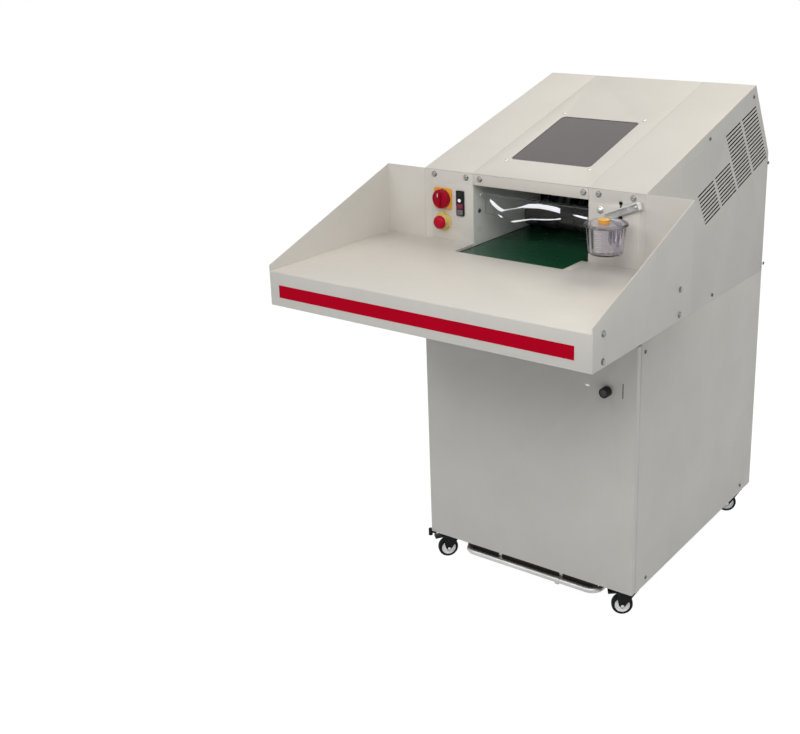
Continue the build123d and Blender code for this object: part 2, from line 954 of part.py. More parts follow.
def make_drive_motor():
    """Finned motor bolted to the back of the gearbox, with a fan cowl at its end."""
    near = side_plate_gap + side_plate_thickness + bearing_thickness + side_play
    x = near + gearbox_width / 2
    start = cutter_y + gearbox_size / 2
    with BuildPart() as drive_motor:
        barrel = Plane(origin=(x, start, lower_z), x_dir=(1, 0, 0), z_dir=(0, 1, 0))
        with BuildSketch(barrel):
            Circle(motor_radius - fin_height)
        extrude(amount=motor_length)
        with BuildSketch(barrel):
            Circle(motor_radius)
        extrude(amount=motor_flange)
        with BuildSketch(barrel):
            with PolarLocations(motor_radius - fin_height, motor_fins):
                Rectangle(2 * fin_height - side_play, fin_thickness)
        extrude(amount=motor_length - cowl_length)
        with BuildSketch(barrel.offset(motor_length - cowl_length)):
            Circle(motor_radius)
        extrude(amount=cowl_length)
    save(drive_motor, "drive_motor")


def make_electrical_box():
    """Closed control cabinet on the deck, behind the left front plate."""
    with BuildPart() as electrical_box:
        start = -inner_half + cabinet_box_wall
        with BuildSketch(Plane.XY.offset(seam_height)):
            with Locations((start + cabinet_box_width / 2,
                            front_y + cabinet_box_depth + cabinet_box_length / 2)):
                RectangleRounded(cabinet_box_width, cabinet_box_length, cabinet_box_corner)
        extrude(amount=cabinet_box_height)
        face = electrical_box.faces().sort_by(Axis.X)[-1]
        door_x = face.center().X
        middle = front_y + cabinet_box_depth + cabinet_box_length / 2
        door_half = cabinet_box_length / 2 - 2 * cabinet_box_corner
        bar(door_x, door_x + cabinet_box_wall, middle - door_half, middle + door_half,
            seam_height + 2 * cabinet_box_corner,
            seam_height + cabinet_box_height - 2 * cabinet_box_corner)
    save(electrical_box, "electrical_box")


# Controls
def make_switch_plates():
    """Square plate of the main switch and round plate of the stop button with its collar."""
    with BuildPart() as switch_plates:
        with BuildSketch(front_plane(raised_y)):
            with Locations((switch_x, table_height + switch_rise)):
                RectangleRounded(switch_plate, switch_plate, switch_plate_corner)
            with Locations((stop_x, table_height + stop_rise)):
                Circle(stop_badge_radius)
        extrude(amount=badge_thickness)
        with BuildSketch(front_plane(raised_y - badge_thickness)):
            with Locations((stop_x, table_height + stop_rise)):
                Circle(stop_collar_radius)
        extrude(amount=stop_collar)
        with BuildSketch(front_plane(raised_y + overrun)):
            with Locations((stop_x, table_height + stop_rise)):
                Circle(stop_stem + running_fit)
        extrude(amount=badge_thickness + stop_collar + 2 * overrun, mode=Mode.SUBTRACT)
    save(switch_plates, "switch_plates")


def make_main_switch_knob():
    """Rotary knob with a bar grip; the grip stands upright when the machine is off."""
    with BuildPart() as main_switch_knob:
        base = front_plane(raised_y - badge_thickness - seat_gap)
        with BuildSketch(base):
            with Locations((switch_x, table_height + switch_rise)):
                Circle(knob_radius)
        extrude(amount=knob_base)
        rim = main_switch_knob.faces().sort_by(Axis.Y)[0].edges()
        chamfer(rim, length=knob_bevel)
        with BuildSketch(base.offset(knob_base)):
            with Locations((switch_x, table_height + switch_rise)):
                SlotOverall(2 * knob_radius - knob_grip, knob_grip_width, rotation=90)
        extrude(amount=knob_grip, taper=knob_draft)
    save(main_switch_knob, "main_switch_knob")


def make_estop_button():
    """Mushroom head on a stem that slides through the collar."""
    y0 = raised_y - badge_thickness - stop_collar
    lift = stop_travel + side_play
    z = table_height + stop_rise
    dome = stop_head * stop_dome_share
    dome_top = -lift - stop_head
    with BuildPart() as estop_button:
        with BuildSketch(Plane(origin=(stop_x, y0, z), x_dir=(1, 0, 0), z_dir=(0, 0, 1))):
            with BuildLine():
                Polyline(
                    (0, stop_collar + stop_stem_depth),
                    (stop_stem, stop_collar + stop_stem_depth),
                    (stop_stem, -lift),
                    (stop_head_radius, -lift),
                    (stop_head_radius, dome_top + dome),
                    (stop_head_radius - dome, dome_top),
                    (0, dome_top),
                    close=True,
                )
            make_face()
        revolve(axis=Axis((stop_x, y0, z), (0, 1, 0)))
    save(estop_button, "estop_button")


def keypad_cells():
    """Height of each cell's middle and the cell's own height, from the top down."""
    rows = len(button_names)
    inside = keypad_height - 2 * keypad_border - (rows - 1) * keypad_rib
    cell = inside / rows
    top = table_height + keypad_rise + keypad_height / 2 - keypad_border
    return [top - cell / 2 - index * (cell + keypad_rib) for index in range(rows)], cell


def make_keypad_bezel():
    """Surround with four windows for the buttons."""
    middles, cell = keypad_cells()
    with BuildPart() as keypad_bezel:
        with BuildSketch(front_plane(raised_y)):
            with Locations((keypad_x, table_height + keypad_rise)):
                RectangleRounded(keypad_width, keypad_height, keypad_border)
            for z in middles:
                with Locations((keypad_x, z)):
                    Rectangle(keypad_width - 2 * keypad_border, cell, mode=Mode.SUBTRACT)
        extrude(amount=keypad_depth)
    save(keypad_bezel, "keypad_bezel")


def make_buttons():
    """Four push buttons, one to a window."""
    middles, cell = keypad_cells()
    back = button_travel + seat_gap
    for z, label in zip(middles, button_names):
        with BuildPart() as button:
            with BuildSketch(front_plane(raised_y - back)):
                with Locations((keypad_x, z)):
                    Rectangle(keypad_width - 2 * keypad_border - 2 * seat_gap, cell - 2 * seat_gap)
            extrude(amount=keypad_depth + button_proud - back)
            crown = button.faces().sort_by(Axis.Y)[0].edges()
            chamfer(crown, length=button_crown)
        save(button, label)


# Oil cup
def make_oil_cup():
    """Clear cup, tapered outside, with a rim and a moulded lug that hooks behind it."""
    y = front_y - cup_forward
    z = table_height + cup_rise
    with BuildPart() as oil_cup:
        with BuildSketch(Plane(origin=(cup_x, y, z), x_dir=(1, 0, 0), z_dir=(0, -1, 0))):
            with BuildLine():
                Polyline(
                    (0, 0),
                    (cup_foot_radius, 0),
                    (cup_top_radius, cup_height - cup_rim),
                    (cup_rim_radius, cup_height - cup_rim),
                    (cup_rim_radius, cup_height),
                    (cup_foot_radius - cup_wall, cup_height),
                    (cup_foot_radius - cup_wall, cup_wall),
                    (0, cup_wall),
                    close=True,
                )
            make_face()
        revolve(axis=Axis((cup_x, y, z), (0, 0, 1)))
        lug_low = z + cup_height - lug_drop - lug_height
        bar(cup_x - lug_width / 2, cup_x + lug_width / 2, y + cup_foot_radius - cup_wall / 2,
            raised_y - seat_gap, lug_low, lug_low + lug_height)
    save(oil_cup, "oil_cup")


def make_oil_cup_lid():
    """Lid with a spigot inside the rim and a turned grip on top."""
    y = front_y - cup_forward
    z = table_height + cup_rise + cup_height + seat_gap
    with BuildPart() as oil_cup_lid:
        with BuildSketch(Plane.XY.offset(z)):
            with Locations((cup_x, y)):
                Circle(lid_radius)
        extrude(amount=lid_thickness)
        spigot_radius = cup_foot_radius - cup_wall - side_play
        with BuildSketch(Plane.XY.offset(z)):
            with Locations((cup_x, y)):
                Circle(spigot_radius)
                Circle(spigot_radius - cup_wall, mode=Mode.SUBTRACT)
        extrude(amount=-lid_spigot)
        with BuildSketch(Plane.XY.offset(z + lid_thickness)):
            with Locations((cup_x - lid_knob_shift, y)):
                Circle(lid_knob_radius)
        extrude(amount=lid_knob_height)
    save(oil_cup_lid, "oil_cup_lid")


def make_oil_arm():
    """Folded steel arm over the oil cup, turning on a boss at its right end."""
    tilt = radians(arm_tilt)
    pivot = (arm_pivot_x, arm_y, table_height + arm_pivot_rise)
    face = Plane(origin=pivot, x_dir=(cos(tilt), 0, sin(tilt)), z_dir=(0, -1, 0))
    middle = ((arm_tail - arm_reach) / 2, 0)
    length = arm_tail + arm_reach
    with BuildPart() as oil_arm:
        with BuildSketch(face):
            with Locations(middle):
                Rectangle(length, arm_height)
        extrude(amount=arm_thickness)
        with BuildSketch(face):
            with Locations((middle[0], arm_height / 2 - arm_thickness / 2)):
                Rectangle(length, arm_thickness)
        extrude(amount=arm_thickness + arm_flange)
        with BuildSketch(face):
            with Locations((arm_tail - arm_thickness / 2, 0)):
                Rectangle(arm_thickness, arm_height)
        extrude(amount=arm_thickness + arm_tab)
        with BuildSketch(face):
            Circle(arm_boss)
        extrude(amount=-(arm_standoff - seat_gap))
    save(oil_arm, "oil_arm")


# Door
def make_front_door():
    """Folded door pan with holes for its two pivot pins and for the lock."""
    left = -body_half + door_side_gap
    right = body_half - door_side_gap
    middle = (left + right) / 2
    height = door_head - door_foot
    with BuildPart() as front_door:
        with BuildSketch(front_plane(door_back)):
            with Locations((middle, (door_foot + door_head) / 2)):
                Rectangle(right - left, height)
        extrude(amount=door_thickness)
        with BuildSketch(front_plane(door_back)):
            with Locations((middle, (door_foot + door_head) / 2)):
                Rectangle(right - left - 2 * sheet, height - 2 * sheet)
        extrude(amount=door_thickness - sheet, mode=Mode.SUBTRACT)
        with BuildSketch(Plane.XY.offset(door_foot - overrun)):
            with Locations((pin_x, pin_y)):
                Circle(door_pin_radius + running_fit)
        extrude(amount=height + 2 * overrun, mode=Mode.SUBTRACT)
        with BuildSketch(front_plane(door_front - overrun)):
            with Locations((lock_x, lock_height)):
                Circle(lock_shaft + running_fit)
        extrude(amount=-(sheet + 2 * overrun), mode=Mode.SUBTRACT)
    save(front_door, "front_door")


def make_door_hinges():
    """Lower and upper pivot brackets with their pins, and the lower one's barrel."""
    with BuildPart() as door_hinges:
        x0 = -body_half
        barrel_x = x0 - side_play - barrel_radius
        bar(barrel_x, x0 + hinge_width, pin_y - hinge_reach, front_y + hinge_tail,
            ground_gap - hinge_plate, ground_gap)
        with BuildSketch(Plane.XY.offset(ground_gap - hinge_plate - barrel_below)):
            with Locations((barrel_x, pin_y)):
                Circle(barrel_radius)
        extrude(amount=barrel_below + hinge_plate + barrel_above)
        bar(x0, x0 + hinge_width, pin_y - hinge_reach, front_y,
            seam_height - hinge_plate, seam_height)
        with BuildSketch(Plane.XY.offset(ground_gap)):
            with Locations((pin_x, pin_y)):
                Circle(door_pin_radius)
        extrude(amount=door_foot_gap + door_pin_reach)
        with BuildSketch(Plane.XY.offset(seam_height - hinge_plate)):
            with Locations((pin_x, pin_y)):
                Circle(door_pin_radius)
        extrude(amount=-(door_head_gap - hinge_plate + door_pin_reach))
    save(door_hinges, "door_hinges")


def make_door_knob():
    """Round lock knob on a shaft, with a cam behind the door sheet."""
    with BuildPart() as door_knob:
        with BuildSketch(front_plane(door_front - seat_gap)):
            with Locations((lock_x, lock_height)):
                Circle(lock_radius)
        extrude(amount=lock_head)
        shaft_end = front_y + sheet + cam_back
        with BuildSketch(front_plane(door_front - seat_gap)):
            with Locations((lock_x, lock_height)):
                Circle(lock_shaft)
        extrude(amount=-(shaft_end + cam_thickness - door_front + seat_gap))
        with BuildSketch(front_plane(shaft_end + cam_thickness)):
            with Locations((lock_x, lock_height - cam_length / 2 + cam_width / 2)):
                SlotOverall(cam_length, cam_width, rotation=90)
        extrude(amount=cam_thickness)
    save(door_knob, "door_knob")


# Lower cabinet
def make_side_panel(side, label):
    """Side sheet of the cabinet with a flange folded in behind the door."""
    outer = side * body_half
    inner = side * inner_half
    flange = side * (inner_half - cabinet_flange)
    with BuildPart() as side_panel:
        with BuildSketch(Plane.XY.offset(ground_gap)):
            with BuildLine():
                Polyline(
                    (outer, front_y),
                    (outer, rear_y),
                    (inner, rear_y),
                    (inner, front_y + sheet),
                    (flange, front_y + sheet),
                    (flange, front_y),
                    close=True,
                )
            make_face()
        extrude(amount=seam_height - ground_gap)
    save(side_panel, label)


def make_rear_lower_panel():
    """Rear sheet of the cabinet with the cable entry."""
    with BuildPart() as rear_lower_panel:
        bar(-inner_half, inner_half, rear_y - sheet, rear_y, ground_gap, seam_height)
        with BuildSketch(Plane(origin=(0, rear_y + overrun, 0), x_dir=(1, 0, 0), z_dir=(0, -1, 0))):
            with Locations((gland_x, gland_height)):
                Circle(gland_neck)
        extrude(amount=sheet + 2 * overrun, mode=Mode.SUBTRACT)
    save(rear_lower_panel, "rear_lower_panel")


def make_cable_gland():
    """Screwed gland with a stepped nut outside and a lock nut inside."""
    with BuildPart() as cable_gland:
        origin = (gland_x, rear_y, gland_height)
        with BuildSketch(Plane(origin=origin, x_dir=(1, 0, 0), z_dir=(0, 0, 1))):
            with BuildLine():
                Polyline(
                    (gland_bore, sheet - gland_inner),
                    (gland_bore, gland_reach),
                    (gland_face_radius, gland_reach),
                    (gland_face_radius, gland_reach - gland_step),
                    (gland_radius, gland_reach - gland_step),
                    (gland_radius, gland_nut),
                    (gland_nut_radius, gland_nut),
                    (gland_nut_radius, 0),
                    (gland_neck, 0),
                    (gland_neck, -sheet),
                    (gland_radius, -sheet),
                    (gland_radius, -sheet - gland_nut / 2),
                    (gland_neck, -sheet - gland_nut / 2),
                    (gland_neck, sheet - gland_inner),
                    close=True,
                )
            make_face()
        revolve(axis=Axis(origin, (0, 1, 0)))
    save(cable_gland, "cable_gland")


def make_machine_deck():
    """Folded deck on top of the cabinet, open under the cutters."""
    low_y = front_y + sheet
    high_y = rear_y - sheet
    with BuildPart() as machine_deck:
        bar(-inner_half, inner_half, low_y, high_y, seam_height - deck_thickness, seam_height)
        with BuildSketch(Plane.XY.offset(seam_height - deck_thickness)):
            with Locations((0, (low_y + high_y) / 2)):
                Rectangle(2 * inner_half, high_y - low_y)
                Rectangle(2 * (inner_half - deck_thickness), high_y - low_y - 2 * deck_thickness,
                          mode=Mode.SUBTRACT)
        extrude(amount=-deck_flange)
        bar(-chute_half, chute_half, front_y + chute_start, front_y + chute_start + chute_length,
            seam_height - deck_thickness - overrun, seam_height + overrun, mode=Mode.SUBTRACT)
    save(machine_deck, "machine_deck")


def caster_places():
    """Name, swivel place and yaw of the four casters."""
    x = body_half - caster_inset
    front = front_y + caster_inset
    rear = rear_y - caster_inset
    return (
        ("front_left", -x, front, front_left_yaw),
        ("front_right", x, front, front_right_yaw),
        ("rear_left", -x, rear, rear_left_yaw),
        ("rear_right", x, rear, rear_right_yaw),
    )


def make_base_frame():
    """Welded tube ring with the casters' top plates and two runners for the trolley.

    The runners hang from the rear tube and from a short strap off each side tube.
    """
    low_y = front_y + sheet
    high_y = rear_y - sheet
    middle = (low_y + high_y) / 2
    with BuildPart() as base_frame:
        with BuildSketch(Plane.XY.offset(ground_gap)):
            with Locations((0, middle)):
                Rectangle(2 * inner_half, high_y - low_y)
                Rectangle(2 * (inner_half - frame_tube), high_y - low_y - 2 * frame_tube,
                          mode=Mode.SUBTRACT)
        extrude(amount=frame_tube)
        with BuildSketch(Plane.XY.offset(plate_under)):
            for name, x, y, yaw in caster_places():
                with Locations((x, y)):
                    Rectangle(caster_plate, caster_plate)
        extrude(amount=caster_plate_thickness)
        lip_z = trolley_height - trolley_tube - seat_gap - runner_thickness
        start = front_y + runner_start
        for side in (-1, 1):
            out = side * runner_spread
            web = sorted((out, out - side * runner_thickness))
            bar(web[0], web[1], start, high_y, lip_z, ground_gap + frame_wall)
            lip = sorted((out, out - side * runner_lip))
            bar(lip[0], lip[1], start, high_y, lip_z, lip_z + runner_thickness)
            strap = sorted((out - side * runner_thickness, side * (inner_half - frame_tube + overrun)))
            bar(strap[0], strap[1], start, start + hanger_width, ground_gap, ground_gap + frame_wall)
    save(base_frame, "base_frame")


def make_trolley_frame():
    """Bent tube loop with two long bars, lying on the runners under the bin."""
    start = front_y - trolley_forward
    end = start + trolley_length
    level = Plane.XY.offset(trolley_height)
    with BuildPart() as trolley_frame:
        with BuildLine(level) as loop:
            FilletPolyline(
                (-trolley_half, start),
                (trolley_half, start),
                (trolley_half, end),
                (-trolley_half, end),
                close=True,
                radius=trolley_bend,
            )
        with BuildSketch(Plane(origin=loop.line @ 0, z_dir=loop.line % 0)):
            Circle(trolley_tube)
        sweep()
        with BuildSketch(front_plane(start)):
            for side in (-1, 1):
                with Locations((side * trolley_bar_x, trolley_height)):
                    Circle(trolley_bar)
        extrude(amount=-trolley_length)
    save(trolley_frame, "trolley_frame")


def make_waste_bin():
    """Tapered bin with a folded rim, open at the top, standing on the trolley."""
    y = front_y + bin_depth
    foot = trolley_height + trolley_bar + seat_gap
    with BuildPart() as waste_bin:
        with BuildSketch(Plane.XY.offset(foot)):
            with Locations((0, y)):
                RectangleRounded(bin_foot_width, bin_foot_depth, bin_corner)
        with BuildSketch(Plane.XY.offset(foot + bin_height)):
            with Locations((0, y)):
                RectangleRounded(bin_top_width, bin_top_depth, bin_corner)
        loft()
        with BuildSketch(Plane.XY.offset(foot + bin_height - bin_rim)):
            with Locations((0, y)):
                RectangleRounded(bin_top_width + bin_rim, bin_top_depth + bin_rim, bin_corner)
        extrude(amount=bin_rim)
        with BuildSketch(Plane.XY.offset(foot + bin_wall)):
            with Locations((0, y)):
                RectangleRounded(bin_foot_width - 2 * bin_wall, bin_foot_depth - 2 * bin_wall,
                                 bin_corner - bin_wall)
        with BuildSketch(Plane.XY.offset(foot + bin_height)):
            with Locations((0, y)):
                RectangleRounded(bin_top_width - 2 * bin_wall, bin_top_depth - 2 * bin_wall,
                                 bin_corner - bin_wall)
        loft(mode=Mode.SUBTRACT)
    save(waste_bin, "waste_bin")


# Casters
def caster_side(x, y, yaw, offset):
    """Plane along the trail whose sketch axes are the trail direction and Z."""
    angle = radians(yaw)
    along = (cos(angle), sin(angle), 0)
    across = (sin(angle), -cos(angle), 0)
    origin = (x + across[0] * offset, y + across[1] * offset, 0)
    return Plane(origin=origin, x_dir=along, z_dir=across)


def make_fork(name, x, y, yaw, braked):
    """Pressed fork with its swivel race on top and the axle through both cheeks.

    A braked fork is bored for the pedal's pin.
    """
    race_top = plate_under - seat_gap
    crown_top = race_top - fork_crown - fork_drop / 2
    inner = wheel_width / 2 + hub_proud + seat_gap
    outer = inner + fork_wall
    pedal_z = crown_top - pedal_drop - fork_crown
    with BuildPart() as fork:
        with BuildSketch(Plane.XY.offset(crown_top)):
            with Locations((x, y)):
                Circle(race_radius)
        extrude(amount=race_top - crown_top)
        with BuildSketch(caster_side(x, y, yaw, -outer)):
            with BuildLine():
                Polyline(
                    (-crown_back, crown_top),
                    (crown_front, crown_top),
                    (crown_front, crown_top - fork_crown),
                    (-crown_back, crown_top - fork_crown),
                    close=True,
                )
            make_face()
        extrude(amount=2 * outer)
        for offset, depth in ((-outer, fork_wall), (inner, fork_wall)):
            with BuildSketch(caster_side(x, y, yaw, offset)):
                with BuildLine():
                    Polyline(
                        (-crown_back, crown_top),
                        (crown_front, crown_top),
                        (crown_front, pedal_z - boss_radius / 2),
                        (wheel_trail + boss_radius, wheel_z),
                        (wheel_trail, wheel_z - boss_radius),
                        (wheel_trail - boss_radius, wheel_z),
                        close=True,
                    )
                make_face()
                if braked:
                    with Locations((pedal_u, pedal_z)):
                        Circle(pedal_pin + running_fit, mode=Mode.SUBTRACT)
            extrude(amount=depth)
        with BuildSketch(caster_side(x, y, yaw, -outer - axle_head_length)):
            with Locations((wheel_trail, wheel_z)):
                Circle(axle_radius)
        extrude(amount=2 * (outer + axle_head_length))
        for offset in (-outer - axle_head_length, outer):
            with BuildSketch(caster_side(x, y, yaw, offset)):
                with Locations((wheel_trail, wheel_z)):
                    RegularPolygon(axle_head, bolt_sides)
            extrude(amount=axle_head_length)
    save(fork, f"{name}_caster_fork")


def make_wheel(name, x, y, yaw):
    """Wheel with a flat tread, a recessed web on each face and a bored hub."""
    half = wheel_width / 2
    bore = axle_radius + running_fit
    angle = radians(yaw)
    across = (sin(angle), -cos(angle), 0)
    middle = (x + cos(angle) * wheel_trail, y + sin(angle) * wheel_trail, wheel_z)
    with BuildPart() as wheel:
        with BuildSketch(Plane(origin=middle, x_dir=across, z_dir=(cos(angle), sin(angle), 0))):
            with BuildLine():
                Polyline(
                    (-half, wheel_radius),
                    (-half, web_radius),
                    (-half + web_recess, web_radius),
                    (-half + web_recess, hub_radius),
                    (-half - hub_proud, hub_radius),
                    (-half - hub_proud, bore),
                    (half + hub_proud, bore),
                    (half + hub_proud, hub_radius),
                    (half - web_recess, hub_radius),
                    (half - web_recess, web_radius),
                    (half, web_radius),
                    (half, wheel_radius),
                    close=True,
                )
            make_face()
        revolve(axis=Axis(middle, across))
    save(wheel, f"{name}_caster_wheel")


def make_brake_pedal(name, x, y, yaw):
    """Brake pedal on a pin through the fork's cheeks."""
    race_top = plate_under - seat_gap
    crown_top = race_top - fork_crown - fork_drop / 2
    pedal_z = crown_top - pedal_drop - fork_crown
    outer = wheel_width / 2 + hub_proud + seat_gap + fork_wall
    with BuildPart() as brake_pedal:
        with BuildSketch(caster_side(x, y, yaw, -pedal_half)):
            with BuildLine():
                Polyline(
                    (pedal_u - pedal_thickness, pedal_z - pedal_thickness / 2),
                    (pedal_u + pedal_length, pedal_z - pedal_thickness),
                    (pedal_u + pedal_length, pedal_z),
                    (pedal_u, pedal_z + pedal_thickness),
                    (pedal_u - pedal_thickness, pedal_z + pedal_thickness / 2),
                    close=True,
                )
            make_face()
        extrude(amount=2 * pedal_half)
        with BuildSketch(caster_side(x, y, yaw, -outer - side_play)):
            with Locations((pedal_u, pedal_z)):
                Circle(pedal_pin)
        extrude(amount=2 * (outer + side_play))
    save(brake_pedal, f"{name}_brake_pedal")


def make_casters():
    """Four forks and wheels, with brakes at the front."""
    for name, x, y, yaw in caster_places():
        braked = name.startswith("front")
        make_fork(name, x, y, yaw, braked)
        make_wheel(name, x, y, yaw)
        if braked:
            make_brake_pedal(name, x, y, yaw)


def make_cutting_block():
    """Everything between the throat and the waste chute."""
    make_block_side_plates()
    make_bearing_housings()
    make_stripper_combs()
    bearing_out = side_plate_gap + side_plate_thickness + bearing_thickness
    gearbox_out = bearing_out + side_play + gearbox_width
    half_tooth = 180 / gear_teeth
    make_cutter(upper_z, upper_discs, bearing_out + side_play, -90, "upper_cutter")
    make_cutter(lower_z, upper_discs + 1, gearbox_out, 90 + half_tooth, "lower_cutter")


os.makedirs("parts", exist_ok=True)
make_feed_table()
make_wing(-1, "left_wing")
make_wing(1, "right_wing")
make_lip_stripe()
make_hood_shell(-1, "hood_left_shell")
make_hood_shell(1, "hood_right_shell")
make_hood_centre_cover()
make_inspection_window()
make_rear_upper_panel()
make_header_plate()
make_control_plate()
make_service_plate()
make_panel_bolts()
make_throat_cheeks()
make_guard_flap()
make_conveyor_bed()
make_conveyor_belt()
make_roller(tail_y, "conveyor_tail_roller")
make_roller(drive_y, "conveyor_drive_roller")
make_feed_roller()
make_cutting_block()
make_gearbox()
make_drive_motor()
make_electrical_box()
make_switch_plates()
make_main_switch_knob()
make_estop_button()
make_keypad_bezel()
make_buttons()
make_oil_cup()
make_oil_cup_lid()
make_oil_arm()
make_front_door()
make_door_hinges()
make_door_knob()
make_side_panel(-1, "left_side_panel")
make_side_panel(1, "right_side_panel")
make_rear_lower_panel()
make_cable_gland()
make_machine_deck()
make_base_frame()
make_trolley_frame()
make_waste_bin()
make_casters()
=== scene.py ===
"""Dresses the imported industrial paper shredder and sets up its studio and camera."""

from __future__ import annotations

import json
import logging
import math
from collections.abc import Callable, Iterable, Mapping, Sequence
from contextlib import contextmanager
from dataclasses import dataclass
from enum import Enum

import bpy
from mathutils import Matrix, Vector

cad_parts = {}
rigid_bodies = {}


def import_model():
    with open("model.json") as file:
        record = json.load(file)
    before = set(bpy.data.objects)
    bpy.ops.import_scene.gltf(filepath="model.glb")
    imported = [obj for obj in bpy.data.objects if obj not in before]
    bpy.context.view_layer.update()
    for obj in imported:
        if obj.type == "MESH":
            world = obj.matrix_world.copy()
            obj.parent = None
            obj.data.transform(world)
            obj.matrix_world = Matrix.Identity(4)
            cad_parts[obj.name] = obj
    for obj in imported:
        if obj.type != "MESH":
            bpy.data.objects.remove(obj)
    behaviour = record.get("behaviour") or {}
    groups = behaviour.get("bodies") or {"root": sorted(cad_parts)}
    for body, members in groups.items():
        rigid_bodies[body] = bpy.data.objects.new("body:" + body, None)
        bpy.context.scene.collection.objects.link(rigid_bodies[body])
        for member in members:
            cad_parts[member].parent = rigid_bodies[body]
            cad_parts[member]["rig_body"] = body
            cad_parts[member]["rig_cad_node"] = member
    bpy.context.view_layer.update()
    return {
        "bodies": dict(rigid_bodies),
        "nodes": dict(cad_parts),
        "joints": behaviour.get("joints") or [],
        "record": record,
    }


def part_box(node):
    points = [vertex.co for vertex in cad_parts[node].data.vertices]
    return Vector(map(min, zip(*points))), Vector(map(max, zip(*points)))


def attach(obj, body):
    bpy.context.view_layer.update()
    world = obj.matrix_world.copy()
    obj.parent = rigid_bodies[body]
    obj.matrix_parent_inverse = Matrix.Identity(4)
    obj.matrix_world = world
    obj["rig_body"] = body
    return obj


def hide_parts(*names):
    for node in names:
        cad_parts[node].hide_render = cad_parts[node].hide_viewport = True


log = logging.getLogger("shredder")

Colour = tuple[float, float, float]
Point = tuple[float, float, float]
Pair = tuple[float, float]
Profile = Sequence[Pair]
Node = bpy.types.Node
Piece = bpy.types.Object
Socket = bpy.types.NodeSocket

MM = 0.001
CORNER_ANGLE = math.radians(30.0)
SHADE_ANGLE = math.radians(35.0)
DUST_LEVEL = 0.34
DUST_FADE = 0.30
DUST_COLOUR = (0.30, 0.28, 0.25, 1.0)

# Places of the machine that several pieces share
TABLE = 1.077
FRONT = -0.1802
RAISED_FACE = -0.1817
FORWARD = (0.0, -1.0, 0.0)
RIGHTWARD = (1.0, 0.0, 0.0)
SLOPE_FOOT = 1.285
HOOD_SLOPE = math.atan2(0.203, 0.725)


# Shader building blocks
class Graph:
    """Adds nodes and links to one node tree."""

    def __init__(self, tree: bpy.types.NodeTree) -> None:
        """Keep the node tree of a material, a world or a group."""
        self.tree = tree

    def fill(self, node: Node, values: Mapping[str | int, object]) -> None:
        """Link sockets into a node's inputs, and set the other inputs to constants.

        Args:
            node: The node.
            values: Socket or constant for each input, by name or number.
        """
        for key, value in values.items():
            if isinstance(value, Socket):
                self.tree.links.new(value, node.inputs[key])
            else:
                node.inputs[key].default_value = value

    def add(self, kind: str, values: Mapping[str | int, object], **settings: object) -> Node:
        """Add one node.

        Args:
            kind: Node type without its leading "ShaderNode".
            values: Socket or constant for each input, by name or number.
            **settings: Properties of the node.

        Returns:
            The new node.
        """
        node = self.tree.nodes.new("ShaderNode" + kind)
        for name, value in settings.items():
            setattr(node, name, value)
        self.fill(node, values)
        return node

    def maths(self, operation: str, first: object, second: object) -> Socket:
        """Work out two numbers or sockets in a maths node and give the result's socket."""
        return self.add("Math", {0: first, 1: second}, operation=operation).outputs[0]

    def seen(self) -> Socket:
        """Mark the rays from the camera, a reflection or a clear piece.

        Returns:
            The mask's socket.
        """
        rays = self.add("LightPath", {}).outputs
        seen = self.maths("MAXIMUM", rays["Is Camera Ray"], rays["Is Glossy Ray"])
        return self.maths("MAXIMUM", seen, rays["Is Transmission Ray"])


